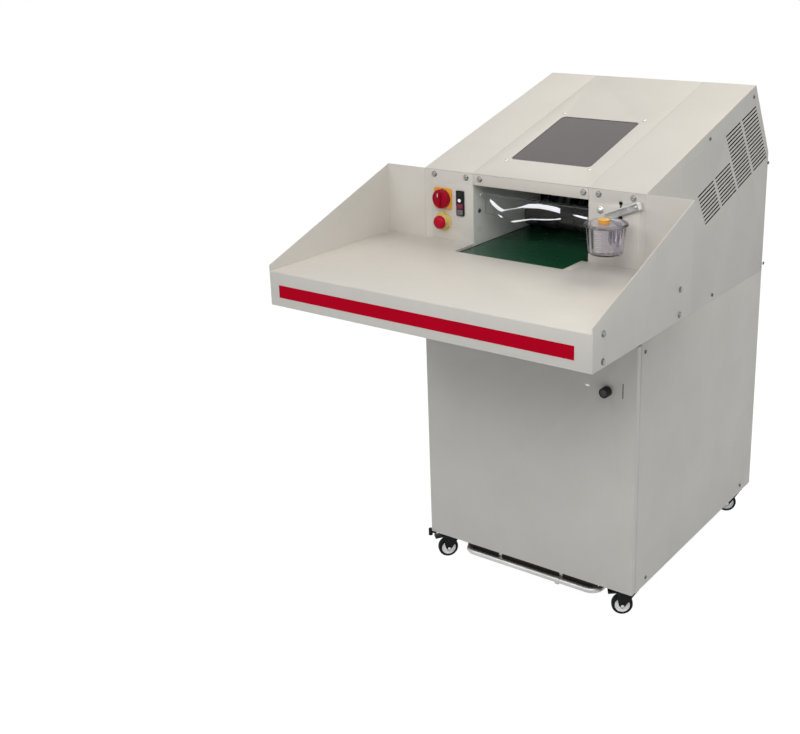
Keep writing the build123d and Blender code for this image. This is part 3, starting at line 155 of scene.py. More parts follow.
class Effects:
    """Node groups for the effects that several finishes share."""

    def __init__(self) -> None:
        """Build the groups once."""
        self.mottle = self._mottle()
        self.grain = self._grain()
        self.weave = self._weave()
        self.dust = self._dust()

    @staticmethod
    def _begin(
        name: str, inputs: Mapping[str, str], outputs: Mapping[str, str]
    ) -> tuple[Graph, Mapping[str, Socket], Node]:
        """Start a group with its sockets.

        Args:
            name: Name of the group.
            inputs: Input names and their kinds.
            outputs: Output names and their kinds.

        Returns:
            The graph of the group, what comes in, and the node that takes what goes out.
        """
        tree = bpy.data.node_groups.new(name, "ShaderNodeTree")
        for way, sockets in (("INPUT", inputs), ("OUTPUT", outputs)):
            for label, kind in sockets.items():
                tree.interface.new_socket(label, in_out=way, socket_type="NodeSocket" + kind)
        start = tree.nodes.new("NodeGroupInput")
        return Graph(tree), start.outputs, tree.nodes.new("NodeGroupOutput")

    def _mottle(self) -> bpy.types.NodeTree:
        """Slow drift between two colours, with its mask.

        Returns:
            The group's node tree.
        """
        graph, start, end = self._begin(
            "colour_drift",
            {"Vector": "Vector", "Scale": "Float", "Base": "Color", "Shade": "Color"},
            {"Colour": "Color", "Mask": "Float"},
        )
        broad = graph.add("TexNoise", {"Vector": start["Vector"], "Scale": start["Scale"],
                                       "Detail": 5.0, "Roughness": 0.62})
        spread = graph.add("MapRange", {"Value": broad.outputs["Fac"], "From Min": 0.35,
                                        "From Max": 0.68}, clamp=True)
        mask = spread.outputs["Result"]
        mix = graph.add("Mix", {0: mask, 6: start["Base"], 7: start["Shade"]}, data_type="RGBA")
        graph.fill(end, {"Colour": mix.outputs[2], "Mask": mask})
        return graph.tree

    def _grain(self) -> bpy.types.NodeTree:
        """Fine noise that can be drawn out along one direction.

        Returns:
            The group's node tree.
        """
        graph, start, end = self._begin(
            "surface_grain",
            {"Vector": "Vector", "Stretch": "Vector", "Scale": "Float"},
            {"Height": "Float"},
        )
        drawn = graph.add("VectorMath", {0: start["Vector"], 1: start["Stretch"]},
                          operation="MULTIPLY")
        noise = graph.add("TexNoise", {"Vector": drawn.outputs[0], "Scale": start["Scale"],
                                       "Detail": 3.0, "Roughness": 0.55})
        graph.fill(end, {"Height": noise.outputs["Fac"]})
        return graph.tree

    def _weave(self) -> bpy.types.NodeTree:
        """Crossed fine bands, as on a fabric-backed belt or a moulded grip.

        Returns:
            The group's node tree.
        """
        graph, start, end = self._begin(
            "crossed_bands", {"Vector": "Vector", "Scale": "Float"}, {"Height": "Float"}
        )
        bands = [
            graph.add("TexWave", {"Vector": start["Vector"], "Scale": start["Scale"]},
                      wave_type="BANDS", bands_direction=direction).outputs["Fac"]
            for direction in ("X", "Y")
        ]
        graph.fill(end, {"Height": graph.maths("MAXIMUM", *bands)})
        return graph.tree

    def _dust(self) -> bpy.types.NodeTree:
        """Mask of a thin patchy dust that gathers below a height.

        Returns:
            The group's node tree.
        """
        graph, start, end = self._begin(
            "settled_dust",
            {"Vector": "Vector", "Level": "Float", "Fade": "Float", "Amount": "Float"},
            {"Mask": "Float"},
        )
        split = graph.add("SeparateXYZ", {0: start["Vector"]})
        below = graph.maths("SUBTRACT", start["Level"], split.outputs["Z"])
        share = graph.add("Math", {0: below, 1: start["Fade"]}, operation="DIVIDE",
                          use_clamp=True)
        cloud = graph.add("TexNoise", {"Vector": start["Vector"], "Scale": 9.0, "Detail": 6.0})
        patch = graph.maths("MULTIPLY", share.outputs[0], cloud.outputs["Fac"])
        graph.fill(end, {"Mask": graph.maths("MULTIPLY", patch, start["Amount"])})
        return graph.tree


class Relief(Enum):
    """Kinds of fine relief that a finish can carry."""

    PEEL = "peel"
    BRUSHED = "brushed"
    WEAVE = "weave"
    CAST = "cast"
    SMOOTH = "smooth"
    SPANGLE = "spangle"


@dataclass(frozen=True)
class Finish:
    """One procedural finish, read from Object coordinates."""

    name: str
    base: Colour
    shade: Colour
    roughness: float = 0.45
    spread: float = 0.08
    metallic: float = 0.0
    relief: Relief = Relief.SMOOTH
    grain: float = 600.0
    stretch: Point = (1.0, 1.0, 1.0)
    depth: float = 0.00003
    drift: float = 6.0
    coat: float = 0.0
    specular: float = 0.5
    transmission: float = 0.0
    ior: float = 1.5
    dust: float = 0.0
    glow: float = 0.0

    def build(self, effects: Effects) -> bpy.types.Material:
        """Make the material.

        Args:
            effects: Shared node groups.

        Returns:
            The finished material.
        """
        material = bpy.data.materials.new(self.name)
        material.use_nodes = True
        material.diffuse_color = (*self.base, 1.0)
        graph = Graph(material.node_tree)
        place = graph.add("TexCoord", {}).outputs["Object"]
        drift = graph.add("Group", {"Vector": place, "Scale": self.drift,
                                    "Base": (*self.base, 1.0), "Shade": (*self.shade, 1.0)},
                          node_tree=effects.mottle)
        bump = graph.add("Bump", {"Strength": 1.0, "Distance": self.depth,
                                  "Height": self._height(graph, effects, place)})
        graph.fill(material.node_tree.nodes["Principled BSDF"], {
            "Base Color": self._colour(graph, effects, place, drift.outputs["Colour"]),
            "Roughness": self._gloss(graph, place, drift.outputs["Mask"]),
            "Normal": bump.outputs["Normal"],
            "Metallic": self.metallic,
            "IOR": self.ior,
            "Specular IOR Level": self.specular,
            "Coat Weight": self.coat,
            "Coat Roughness": 0.08,
            "Transmission Weight": self.transmission,
            "Emission Strength": self.glow,
            "Emission Color": (*self.base, 1.0),
        })
        return material

    def _colour(self, graph: Graph, effects: Effects, place: Socket, colour: Socket) -> Socket:
        """Lay dust over the colour.

        Args:
            graph: Graph of the material.
            effects: Shared node groups.
            place: Object coordinates.
            colour: The clean colour.

        Returns:
            The dusty colour.
        """
        if not self.dust:
            return colour
        dust = graph.add("Group", {"Vector": place, "Level": DUST_LEVEL, "Fade": DUST_FADE,
                                   "Amount": self.dust}, node_tree=effects.dust)
        mix = graph.add("Mix", {0: dust.outputs["Mask"], 6: colour, 7: DUST_COLOUR},
                        data_type="RGBA")
        return mix.outputs[2]

    def _gloss(self, graph: Graph, place: Socket, mask: Socket) -> Socket:
        """Vary the roughness with the drift and with small smears.

        Args:
            graph: Graph of the material.
            place: Object coordinates.
            mask: Mask of the drift.

        Returns:
            The roughness.
        """
        smear = graph.add("TexNoise", {"Vector": place, "Scale": 38.0, "Detail": 4.0})
        level = graph.add("MapRange", {
            "Value": graph.maths("ADD", mask, smear.outputs["Fac"]),
            "From Max": 2.0,
            "To Min": max(0.0, self.roughness - self.spread),
            "To Max": min(1.0, self.roughness + self.spread),
        }, clamp=True)
        return level.outputs["Result"]

    def _height(self, graph: Graph, effects: Effects, place: Socket) -> Socket:
        """Make the fine relief.

        Args:
            graph: Graph of the material.
            effects: Shared node groups.
            place: Object coordinates.

        Returns:
            Its height.
        """
        values = {"Vector": place, "Scale": self.grain}
        if self.relief is Relief.SPANGLE:
            return graph.add("TexVoronoi", values).outputs["Distance"]
        if self.relief is Relief.WEAVE:
            return graph.add("Group", values, node_tree=effects.weave).outputs["Height"]
        values["Stretch"] = self.stretch
        return graph.add("Group", values, node_tree=effects.grain).outputs["Height"]


class Palette:
    """All finishes of the machine, built once."""

    FINISHES = (
        Finish("cream_powder_coat", (0.690, 0.662, 0.612), (0.665, 0.637, 0.588), roughness=0.46,
               specular=0.35, relief=Relief.PEEL, grain=520.0, depth=0.00012, dust=0.10),
        Finish("red_vinyl", (0.53, 0.001, 0.018), (0.49, 0.001, 0.016), roughness=0.50,
               grain=90.0, depth=0.00006, specular=0.02),
        Finish("green_belt", (0.012, 0.082, 0.036), (0.010, 0.068, 0.031), roughness=0.24,
               spread=0.10, relief=Relief.WEAVE, grain=420.0, depth=0.00005, drift=14.0),
        Finish("smoked_sheet", (0.110, 0.088, 0.084), (0.103, 0.083, 0.079), roughness=0.09,
               spread=0.03, grain=40.0, depth=0.00002, transmission=0.35, ior=1.49),
        Finish("clear_sheet", (0.98, 0.98, 0.99), (0.97, 0.97, 0.985), roughness=0.02,
               spread=0.02, grain=24.0, depth=0.00002, transmission=1.0, ior=1.22),
        # painted highlight: glowing white bands on the curtain stand for its bright reflections
        Finish("curtain_painted_highlight", (0.95, 0.95, 1.0), (0.74, 0.74, 0.82), roughness=0.14, spread=0.06,
               grain=60.0, depth=0.00004, drift=60.0, coat=0.6, glow=0.30),
        Finish("clear_jar", (0.93, 0.91, 0.97), (0.90, 0.88, 0.95), roughness=0.03, spread=0.03,
               grain=60.0, depth=0.00006, transmission=1.0, ior=1.40),
        Finish("bright_zinc", (0.62, 0.62, 0.61), (0.50, 0.50, 0.50), roughness=0.30,
               metallic=1.0, relief=Relief.SPANGLE, grain=160.0, depth=0.00002, drift=60.0),
        Finish("galvanised_sheet", (0.52, 0.52, 0.51), (0.43, 0.43, 0.43), roughness=0.42,
               metallic=0.85, relief=Relief.SPANGLE, grain=90.0, drift=40.0),
        Finish("cheek_paint", (0.86, 0.87, 0.82), (0.81, 0.82, 0.78), roughness=0.30,
               relief=Relief.PEEL, grain=420.0, depth=0.00008, dust=0.05),
        Finish("ground_steel", (0.34, 0.34, 0.35), (0.26, 0.26, 0.27), roughness=0.30,
               metallic=1.0, relief=Relief.BRUSHED, grain=260.0, stretch=(14.0, 1.0, 1.0),
               drift=22.0),
        Finish("cast_enamel", (0.10, 0.11, 0.12), (0.08, 0.09, 0.10), roughness=0.48,
               relief=Relief.CAST, grain=180.0, depth=0.0004, coat=0.2),
        Finish("motor_enamel", (0.045, 0.085, 0.14), (0.04, 0.07, 0.12), roughness=0.36,
               relief=Relief.CAST, grain=240.0, depth=0.0002, coat=0.3),
        Finish("black_enamel", (0.006, 0.007, 0.008), (0.010, 0.011, 0.012), roughness=0.44,
               relief=Relief.PEEL, grain=420.0, depth=0.0001, dust=0.03, specular=0.10),
        Finish("satin_chrome", (0.60, 0.60, 0.585), (0.48, 0.48, 0.47), roughness=0.36,
               metallic=0.85, relief=Relief.BRUSHED, grain=300.0, stretch=(1.0, 1.0, 8.0),
               depth=0.00001, dust=0.12),
        Finish("ground_rubber", (0.026, 0.026, 0.027), (0.040, 0.040, 0.041), roughness=0.62,
               relief=Relief.CAST, grain=340.0, depth=0.00015),
        Finish("tyre_rubber", (0.006, 0.006, 0.007), (0.012, 0.012, 0.012), roughness=0.60,
               relief=Relief.CAST, grain=420.0, depth=0.0001, drift=30.0, dust=0.04,
               specular=0.08),
        # white nylon, with a glow that paints light onto the hubs in shade
        Finish("hub_nylon_painted_glow", (0.90, 0.91, 0.92), (0.82, 0.83, 0.85), roughness=0.40, grain=300.0,
               depth=0.00005, drift=40.0, dust=0.02, glow=0.08),
        # painted highlight: glowing near-white strips along the oil arm's edges
        Finish("arm_painted_highlight", (0.93, 0.94, 0.93), (0.84, 0.85, 0.84), roughness=0.25, metallic=0.2,
               grain=260.0, depth=0.00001, drift=40.0, glow=0.06),
        Finish("bolt_zinc", (0.34, 0.345, 0.34), (0.25, 0.255, 0.25), roughness=0.26,
               metallic=1.0, relief=Relief.SPANGLE, grain=160.0, depth=0.00002, drift=60.0),
        # painted shade: the vents' cut walls and the strips behind them
        Finish("slot_shadow", (0.008, 0.007, 0.006), (0.012, 0.011, 0.010), roughness=0.7,
               grain=300.0, depth=0.00004, drift=30.0, specular=0.0),
        Finish("dull_screw", (0.12, 0.12, 0.12), (0.07, 0.07, 0.07), roughness=0.42, metallic=0.6,
               grain=160.0, depth=0.00002, drift=70.0),
        Finish("arm_zinc", (0.80, 0.81, 0.79), (0.62, 0.64, 0.62), roughness=0.30, metallic=0.35,
               relief=Relief.BRUSHED, grain=260.0, stretch=(1.0, 8.0, 8.0), depth=0.00001,
               drift=40.0),
        Finish("orange_plate", (0.86, 0.40, 0.035), (0.80, 0.35, 0.030), roughness=0.34,
               grain=420.0, depth=0.00004, drift=30.0, coat=0.2),
        Finish("pale_yellow_disc", (0.74, 0.58, 0.20), (0.68, 0.52, 0.17), roughness=0.38,
               grain=380.0, depth=0.00004, drift=30.0),
        Finish("switch_red", (0.38, 0.002, 0.020), (0.33, 0.002, 0.017), roughness=0.34,
               grain=260.0, drift=30.0, specular=0.12),
        Finish("stop_red", (0.52, 0.002, 0.030), (0.47, 0.002, 0.026), roughness=0.36,
               grain=260.0, drift=30.0, specular=0.15),
        Finish("moulded_black", (0.009, 0.009, 0.010), (0.015, 0.015, 0.016), roughness=0.44,
               relief=Relief.WEAVE, grain=900.0, drift=60.0, specular=0.2),
        Finish("key_black", (0.020, 0.020, 0.022), (0.012, 0.012, 0.013), roughness=0.30,
               grain=300.0, depth=0.00002, drift=80.0, specular=0.2),
        Finish("key_white", (0.80, 0.86, 0.90), (0.76, 0.83, 0.88), roughness=0.25, grain=300.0,
               depth=0.00002, drift=80.0, glow=0.25),
        Finish("key_red", (0.24, 0.010, 0.045), (0.20, 0.008, 0.036), roughness=0.25, grain=300.0,
               depth=0.00002, drift=80.0),
        Finish("key_grey", (0.16, 0.16, 0.18), (0.13, 0.13, 0.15), roughness=0.25, grain=300.0,
               depth=0.00002, drift=80.0),
        Finish("orange_cap", (0.88, 0.42, 0.020), (0.84, 0.36, 0.016), roughness=0.28,
               grain=320.0, drift=50.0, coat=0.3),
        Finish("print_white", (0.82, 0.82, 0.80), (0.76, 0.76, 0.74), roughness=0.5, grain=500.0,
               depth=0.00001, drift=90.0),
        # painted shade: nearly black sheet for the shaded space under the door
        Finish("painted_shade_board", (0.030, 0.020, 0.017), (0.016, 0.012, 0.011), roughness=0.5,
               grain=90.0, depth=0.00004, drift=9.0, specular=0.3),
        # black print, and painted shade in the screws' sockets and the door's slot
        Finish("print_and_recess_shade_black", (0.016, 0.016, 0.016), (0.024, 0.024, 0.024), roughness=0.5,
               grain=500.0, depth=0.00001, drift=90.0),
    )

    def __init__(self) -> None:
        """Build every finish."""
        effects = Effects()
        self.materials = {finish.name: finish.build(effects) for finish in self.FINISHES}

    def __getitem__(self, name: str) -> bpy.types.Material:
        """Give a material by its finish name."""
        return self.materials[name]


# Hand tools
def along(origin: Sequence[float], axis: Sequence[float]) -> Matrix:
    """Give the frame at a point whose Z runs along an axis."""
    turned = Vector(axis).normalized().to_track_quat("Z", "Y").to_matrix().to_4x4()
    return Matrix.Translation(origin) @ turned


def mirrored(half: Profile) -> Profile:
    """Give a whole profile from its upper rings, listed from the end to the middle."""
    return (*((radius, -height) for radius, height in half), *reversed(half))


class Bench:
    """Shapes pieces in edit mode and hands them over to the frame."""

    def __init__(self, frame: dict, palette: Palette) -> None:
        """Keep what every piece needs.

        Args:
            frame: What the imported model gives.
            palette: Finishes of the machine.
        """
        self.nodes: dict[str, Piece] = frame["nodes"]
        self.joints = {joint["name"]: joint for joint in frame["joints"]}
        self.palette = palette

    @staticmethod
    def clear() -> None:
        """Leave edit mode and deselect everything."""
        if bpy.context.object and bpy.context.object.mode != "OBJECT":
            bpy.ops.object.mode_set(mode="OBJECT")
        bpy.ops.object.select_all(action="DESELECT")

    def hold(self, *pieces: Piece) -> None:
        """Select pieces, the first of them active.

        Args:
            *pieces: The pieces, with all else left out.
        """
        self.clear()
        for piece in pieces:
            piece.select_set(True)
        bpy.context.view_layer.objects.active = pieces[0]

    @contextmanager
    def editing(self, piece: Piece) -> Iterable[None]:
        """Stay in edit mode on one piece, with all of it selected at the start.

        Args:
            piece: The piece.

        Yields:
            Nothing, while the piece is edited.
        """
        self.hold(piece)
        bpy.ops.object.mode_set(mode="EDIT")
        bpy.ops.mesh.select_all(action="SELECT")
        yield
        bpy.ops.object.mode_set(mode="OBJECT")

    @staticmethod
    def pick_faces(piece: Piece, test: Callable[[bpy.types.MeshPolygon], bool]) -> None:
        """Select faces, leaving edit mode for it and coming back.

        Args:
            piece: The piece that is being edited.
            test: Says whether a face is selected.
        """
        bpy.ops.object.mode_set(mode="OBJECT")
        for part in (*piece.data.vertices, *piece.data.edges):
            part.select = False
        for face in piece.data.polygons:
            face.select = test(face)
        bpy.ops.object.mode_set(mode="EDIT")

    def settle(self, piece: Piece, matrix: Matrix) -> Piece:
        """Carry a piece to its place and put the place into its mesh.

        Args:
            piece: The piece.
            matrix: Its way from where it stands.

        Returns:
            The same piece.
        """
        piece.matrix_world = matrix @ piece.matrix_world
        self.hold(piece)
        bpy.ops.object.transform_apply(location=True, rotation=True, scale=True)
        return piece

    def modify(self, piece: Piece, kind: str, **settings: object) -> Piece:
        """Apply one modifier to a piece.

        Args:
            piece: The piece.
            kind: Type of the modifier.
            **settings: Its properties.

        Returns:
            The same piece.
        """
        self.hold(piece)
        change = piece.modifiers.new(kind.lower(), kind)
        for name, value in settings.items():
            setattr(change, name, value)
        bpy.ops.object.modifier_apply(modifier=change.name)
        return piece

    def turn(self, name: str, profile: Profile, sides: int, bored: bool = False) -> Piece:
        """Draw a round piece up from a disc, one ring to each step of its profile.

        Args:
            name: Name of the piece.
            profile: Radius and height of each ring, in millimetres.
            sides: Number of sides.
            bored: Whether the two end faces are joined into a bore.

        Returns:
            The piece, standing along Z.
        """
        self.clear()
        radius, height = profile[0]
        bpy.ops.mesh.primitive_circle_add(vertices=sides, radius=radius * MM, fill_type="NGON")
        piece = bpy.context.object
        piece.name = name
        self.settle(piece, Matrix.Translation((0.0, 0.0, height * MM)))
        with self.editing(piece):
            for reach, level in profile[1:]:
                move = {"value": (0.0, 0.0, (level - height) * MM)}
                bpy.ops.mesh.extrude_region_move(TRANSFORM_OT_translate=move)
                share = reach / radius
                bpy.ops.transform.resize(value=(share, share, 1.0),
                                         center_override=(0.0, 0.0, level * MM))
                radius, height = reach, level
            if bored:
                self.pick_faces(piece, lambda face: len(face.vertices) == sides)
                bpy.ops.mesh.bridge_edge_loops()
            bpy.ops.mesh.select_all(action="SELECT")
            bpy.ops.mesh.normals_make_consistent(inside=False)
        return piece

    def turned(self, name: str, profile: Profile, sides: int, place: Matrix) -> Piece:
        """Turn a piece, carry it to its place and shade it."""
        return self.smooth(self.settle(self.turn(name, profile, sides), place))

    def block(
        self, name: str, low: Point, high: Point, edge: float = 0.0, segments: int = 2
    ) -> Piece:
        """Set a straight block between two corners.

        Args:
            name: Name of the piece.
            low: Its lower corner.
            high: Its upper corner.
            edge: Width of its broken edges, if they are broken.
            segments: Steps across a broken edge.

        Returns:
            The piece.
        """
        self.clear()
        bpy.ops.mesh.primitive_cube_add(size=1.0)
        piece = bpy.context.object
        piece.name = name
        size = [b - a for a, b in zip(low, high)]
        middle = [(a + b) / 2 for a, b in zip(low, high)]
        self.settle(piece, Matrix.LocRotScale(middle, None, size))
        return self.soften(piece, edge, segments) if edge else piece

    def grid(self, name: str, across: int, down: int) -> Piece:
        """Lay a flat grid of unit size, to be shaped point by point.

        Args:
            name: Name of the piece.
            across: Number of its cells along X.
            down: Number of its cells along Y.

        Returns:
            The grid.
        """
        self.clear()
        bpy.ops.mesh.primitive_grid_add(x_subdivisions=across, y_subdivisions=down, size=1.0)
        piece = bpy.context.object
        piece.name = name
        return piece

    def thicken(self, piece: Piece, thickness: float) -> Piece:
        """Give a single skin its wall and shade it.

        Args:
            piece: The skin.
            thickness: Thickness of the wall, half of it on each side.

        Returns:
            The same piece.
        """
        self.modify(piece, "SOLIDIFY", thickness=thickness, offset=0.0)
        with self.editing(piece):
            bpy.ops.mesh.normals_make_consistent(inside=False)
        return self.smooth(piece)

    def soften(self, piece: Piece, width: float, segments: int = 2) -> Piece:
        """Break the sharp edges of a piece and shade it.

        Args:
            piece: The piece.
            width: Width of the broken edges.
            segments: Steps across a broken edge.

        Returns:
            The same piece.
        """
        return self.smooth(self.modify(
            piece, "BEVEL", width=width, segments=segments, limit_method="ANGLE",
            angle_limit=CORNER_ANGLE, harden_normals=False))

    def smooth(self, piece: Piece) -> Piece:
        """Shade a piece smooth except at its corners.

        Args:
            piece: The piece.

        Returns:
            The same piece.
        """
        self.hold(piece)
        bpy.ops.object.shade_smooth_by_angle(angle=SHADE_ANGLE)
        return piece

    def copy(self, piece: Piece, matrix: Matrix) -> Piece:
        """Copy a piece with a mesh of its own and carry the copy to its place.

        Args:
            piece: The piece.
            matrix: Way of the copy from where the piece stands.

        Returns:
            The copy.
        """
        self.hold(piece)
        bpy.ops.object.duplicate(linked=False)
        return self.settle(bpy.context.object, matrix)

    def weld(self, name: str, pieces: Sequence[Piece]) -> Piece:
        """Join pieces into one.

        Args:
            name: Name of the whole.
            pieces: The pieces, which are used up.

        Returns:
            The whole.
        """
        self.hold(*pieces)
        if len(pieces) > 1:
            bpy.ops.object.join()
        piece = bpy.context.object
        piece.name = name
        piece.data.name = name
        return piece

    def twin(self, node: str, name: str, width: float, segments: int = 2) -> Piece:
        """Copy a solid, merge its triangles and break its edges.

        Args:
            node: Name of the solid.
            name: Name of the new piece.
            width: Width of the broken edges.
            segments: Steps across a broken edge.

        Returns:
            The new piece.
        """
        self.hold(self.nodes[node])
        bpy.ops.object.duplicate(linked=False)
        piece = bpy.context.object
        piece.name = name
        piece.data.name = name
        piece.parent = None
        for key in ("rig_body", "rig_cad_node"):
            if key in piece:
                del piece[key]
        with self.editing(piece):
            bpy.ops.mesh.remove_doubles(threshold=0.01 * MM)
            bpy.ops.mesh.dissolve_limited(angle_limit=math.radians(0.5))
        return self.soften(piece, width, segments)

    def paint(self, piece: Piece, finish: str) -> Piece:
        """Give a piece its finish.

        Args:
            piece: The piece.
            finish: Name of its only finish.

        Returns:
            The same piece.
        """
        piece.data.materials.clear()
        piece.data.materials.append(self.palette[finish])
        return piece

    def repaint(
        self, piece: Piece, finish: str, test: Callable[[bpy.types.MeshPolygon], bool]
    ) -> None:
        """Give some faces of a piece a second finish.

        Args:
            piece: The piece.
            finish: Name of the second finish.
            test: Says whether a face gets it.
        """
        piece.data.materials.append(self.palette[finish])
        for face in piece.data.polygons:
            if test(face):
                face.material_index = 1

    def hand_over(
        self, piece: Piece, body: str, slot: str, replaces: Sequence[str] = ()
    ) -> Piece:
        """Hand a piece to its body and hide the solids that it stands for.

        Args:
            piece: The piece.
            body: Name of the body that it rides on.
            slot: Material slot of the record; not used.
            replaces: Solids that it stands for.

        Returns:
            The same piece.
        """
        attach(piece, body)
        if replaces:
            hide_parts(*replaces)
        log.info("%s rides on %s, %d faces", piece.name, body, len(piece.data.polygons))
        return piece

    def deliver(
        self, piece: Piece, body: str, slot: str, finish: str, replaces: Sequence[str] = ()
    ) -> Piece:
        """Paint a piece all over and hand it to its body."""
        return self.hand_over(self.paint(piece, finish), body, slot, replaces)

    def dress(
        self, node: str, name: str, body: str, slot: str, finish: str, edge: float,
        segments: int = 2,
    ) -> Piece:
        """Put a soft-edged twin in the place of a solid."""
        return self.deliver(self.twin(node, name, edge, segments), body, slot, finish, [node])


# Sub-assemblies
@dataclass
class PlainSolids:
    """Solids whose shape is right as it is, listed by their finishes."""

    bench: Bench
    finishes: tuple[tuple[str, tuple[str, ...]], ...] = (
        ("red_vinyl", ("lip_stripe",)),
        ("smoked_sheet", ("inspection_window",)),
        ("cheek_paint", ("throat_cheeks",)),
        ("galvanised_sheet", ("conveyor_bed", "machine_deck", "waste_bin")),
        ("bright_zinc", ("conveyor_drive_roller", "conveyor_tail_roller", "stripper_combs")),
        ("ground_steel", ("block_side_plates", "upper_cutter", "lower_cutter")),
        ("cast_enamel", ("bearing_housings", "gearbox")),
        ("motor_enamel", ("drive_motor",)),
        ("cream_powder_coat", ("electrical_box",)),
        ("black_enamel", ("base_frame", "door_hinges")),
        ("moulded_black", ("cable_gland",)),
        ("green_belt", ("conveyor_belt",)),
        ("ground_rubber", ("feed_roller",)),
        ("satin_chrome", ("trolley_frame",)),
    )

    def build(self) -> None:
        """Swap the materials of the solids that stay in view."""
        for finish, nodes in self.finishes:
            for node in nodes:
                self.bench.paint(self.bench.nodes[node], finish)
                log.info("%s keeps its solid in %s", node, finish)


@dataclass
class SheetMetal:
    """Painted sheets, dressed with softly rounded edges."""

    bench: Bench
    edge: float = 0.0008
    door_edge: float = 0.0012
    sheets: tuple[tuple[str, str], ...] = (
        ("feed_table", "tray_sheet"),
        ("left_wing", "left_wing_sheet"),
        ("right_wing", "right_wing_sheet"),
        ("hood_left_shell", "hood_left_sheet"),
        ("hood_right_shell", "hood_right_sheet"),
        ("hood_centre_cover", "hood_centre_sheet"),
        ("rear_upper_panel", "rear_upper_sheet"),
        ("header_plate", "header_sheet"),
        ("control_plate", "control_sheet"),
        ("service_plate", "service_sheet"),
        ("left_side_panel", "left_cabinet_sheet"),
        ("right_side_panel", "right_cabinet_sheet"),
        ("rear_lower_panel", "rear_cabinet_sheet"),
    )

    def build(self) -> None:
        """Make a soft-edged twin of each painted sheet."""
        coat = ("cream_paint", "cream_powder_coat")
        for node, name in self.sheets:
            self.bench.dress(node, name, "machine", *coat, self.edge)
        self.bench.dress("front_door", "door_sheet", "door", *coat, self.door_edge, 3)


@dataclass
class Vents:
    """Dark slots in the hood's sides, with places given as depth and height.

    Painted shade: their cut walls are painted nearly black, and nearly black strips stand close
    behind them.
    """

    bench: Bench
    rows: tuple[int, ...] = (16, 16, 9, 9)
    start: Pair = (0.6103, 1.2362)
    step: Pair = (0.1170, 0.0328)
    pitch: float = 0.0114
    lean: float = math.radians(33.0)
    strip: Point = (0.0006, 0.0560, 0.0062)
    strip_place: float = 0.3586
    skin: float = 0.3599
    near: Pair = (0.12, 1.10)
    rear: float = 0.672
    border: float = 0.006
    wall_slant: float = 0.6
    knee: float = 0.5448
    rear_fall: float = 1.694

    def is_cut(self, face: bpy.types.MeshPolygon) -> bool:
        """Find the cut walls of the slots, clear of the shell's own border.

        Args:
            face: A face of a shell.

        Returns:
            Whether it is the wall of a slot.
        """
        x, y, z = face.center
        roof = SLOPE_FOOT + math.tan(HOOD_SLOPE) * (min(y, self.knee) - FRONT)
        roof -= self.rear_fall * max(y - self.knee, 0.0)
        inside = self.near[0] < y < self.rear and self.near[1] < z < roof - self.border
        return inside and abs(x) > self.skin and abs(face.normal.x) < self.wall_slant

    def column(self, side: int, index: int) -> Piece:
        """Nearly black strips of painted shade behind one column of slots.

        Args:
            side: -1 on the left, 1 on the right.
            index: Number of the column, from the rear.

        Returns:
            The strips as one piece.
        """
        strip = self.bench.block("strip", tuple(-size for size in self.strip), self.strip)
        y, z = (start - index * step for start, step in zip(self.start, self.step))
        place = Matrix.Translation((side * self.strip_place, y, z))
        self.bench.settle(strip, place @ Matrix.Rotation(HOOD_SLOPE, 4, "X"))
        shift = (0.0, -self.pitch * math.tan(self.lean), self.pitch)
        return self.bench.modify(
            strip, "ARRAY", count=self.rows[index], use_relative_offset=False,
            use_constant_offset=True, constant_offset_displace=shift)

    def build(self) -> None:
        """Paint shade on the slots' cut walls and stand the dark strips behind them."""
        for name in ("hood_left_sheet", "hood_right_sheet"):
            self.bench.repaint(bpy.data.objects[name], "slot_shadow", self.is_cut)
        columns = [self.column(side, index) for side in (-1, 1)
                   for index in range(len(self.rows))]
        piece = self.bench.weld("vent_shade_strips", columns)
        self.bench.deliver(piece, "machine", "black_plastic", "slot_shadow")


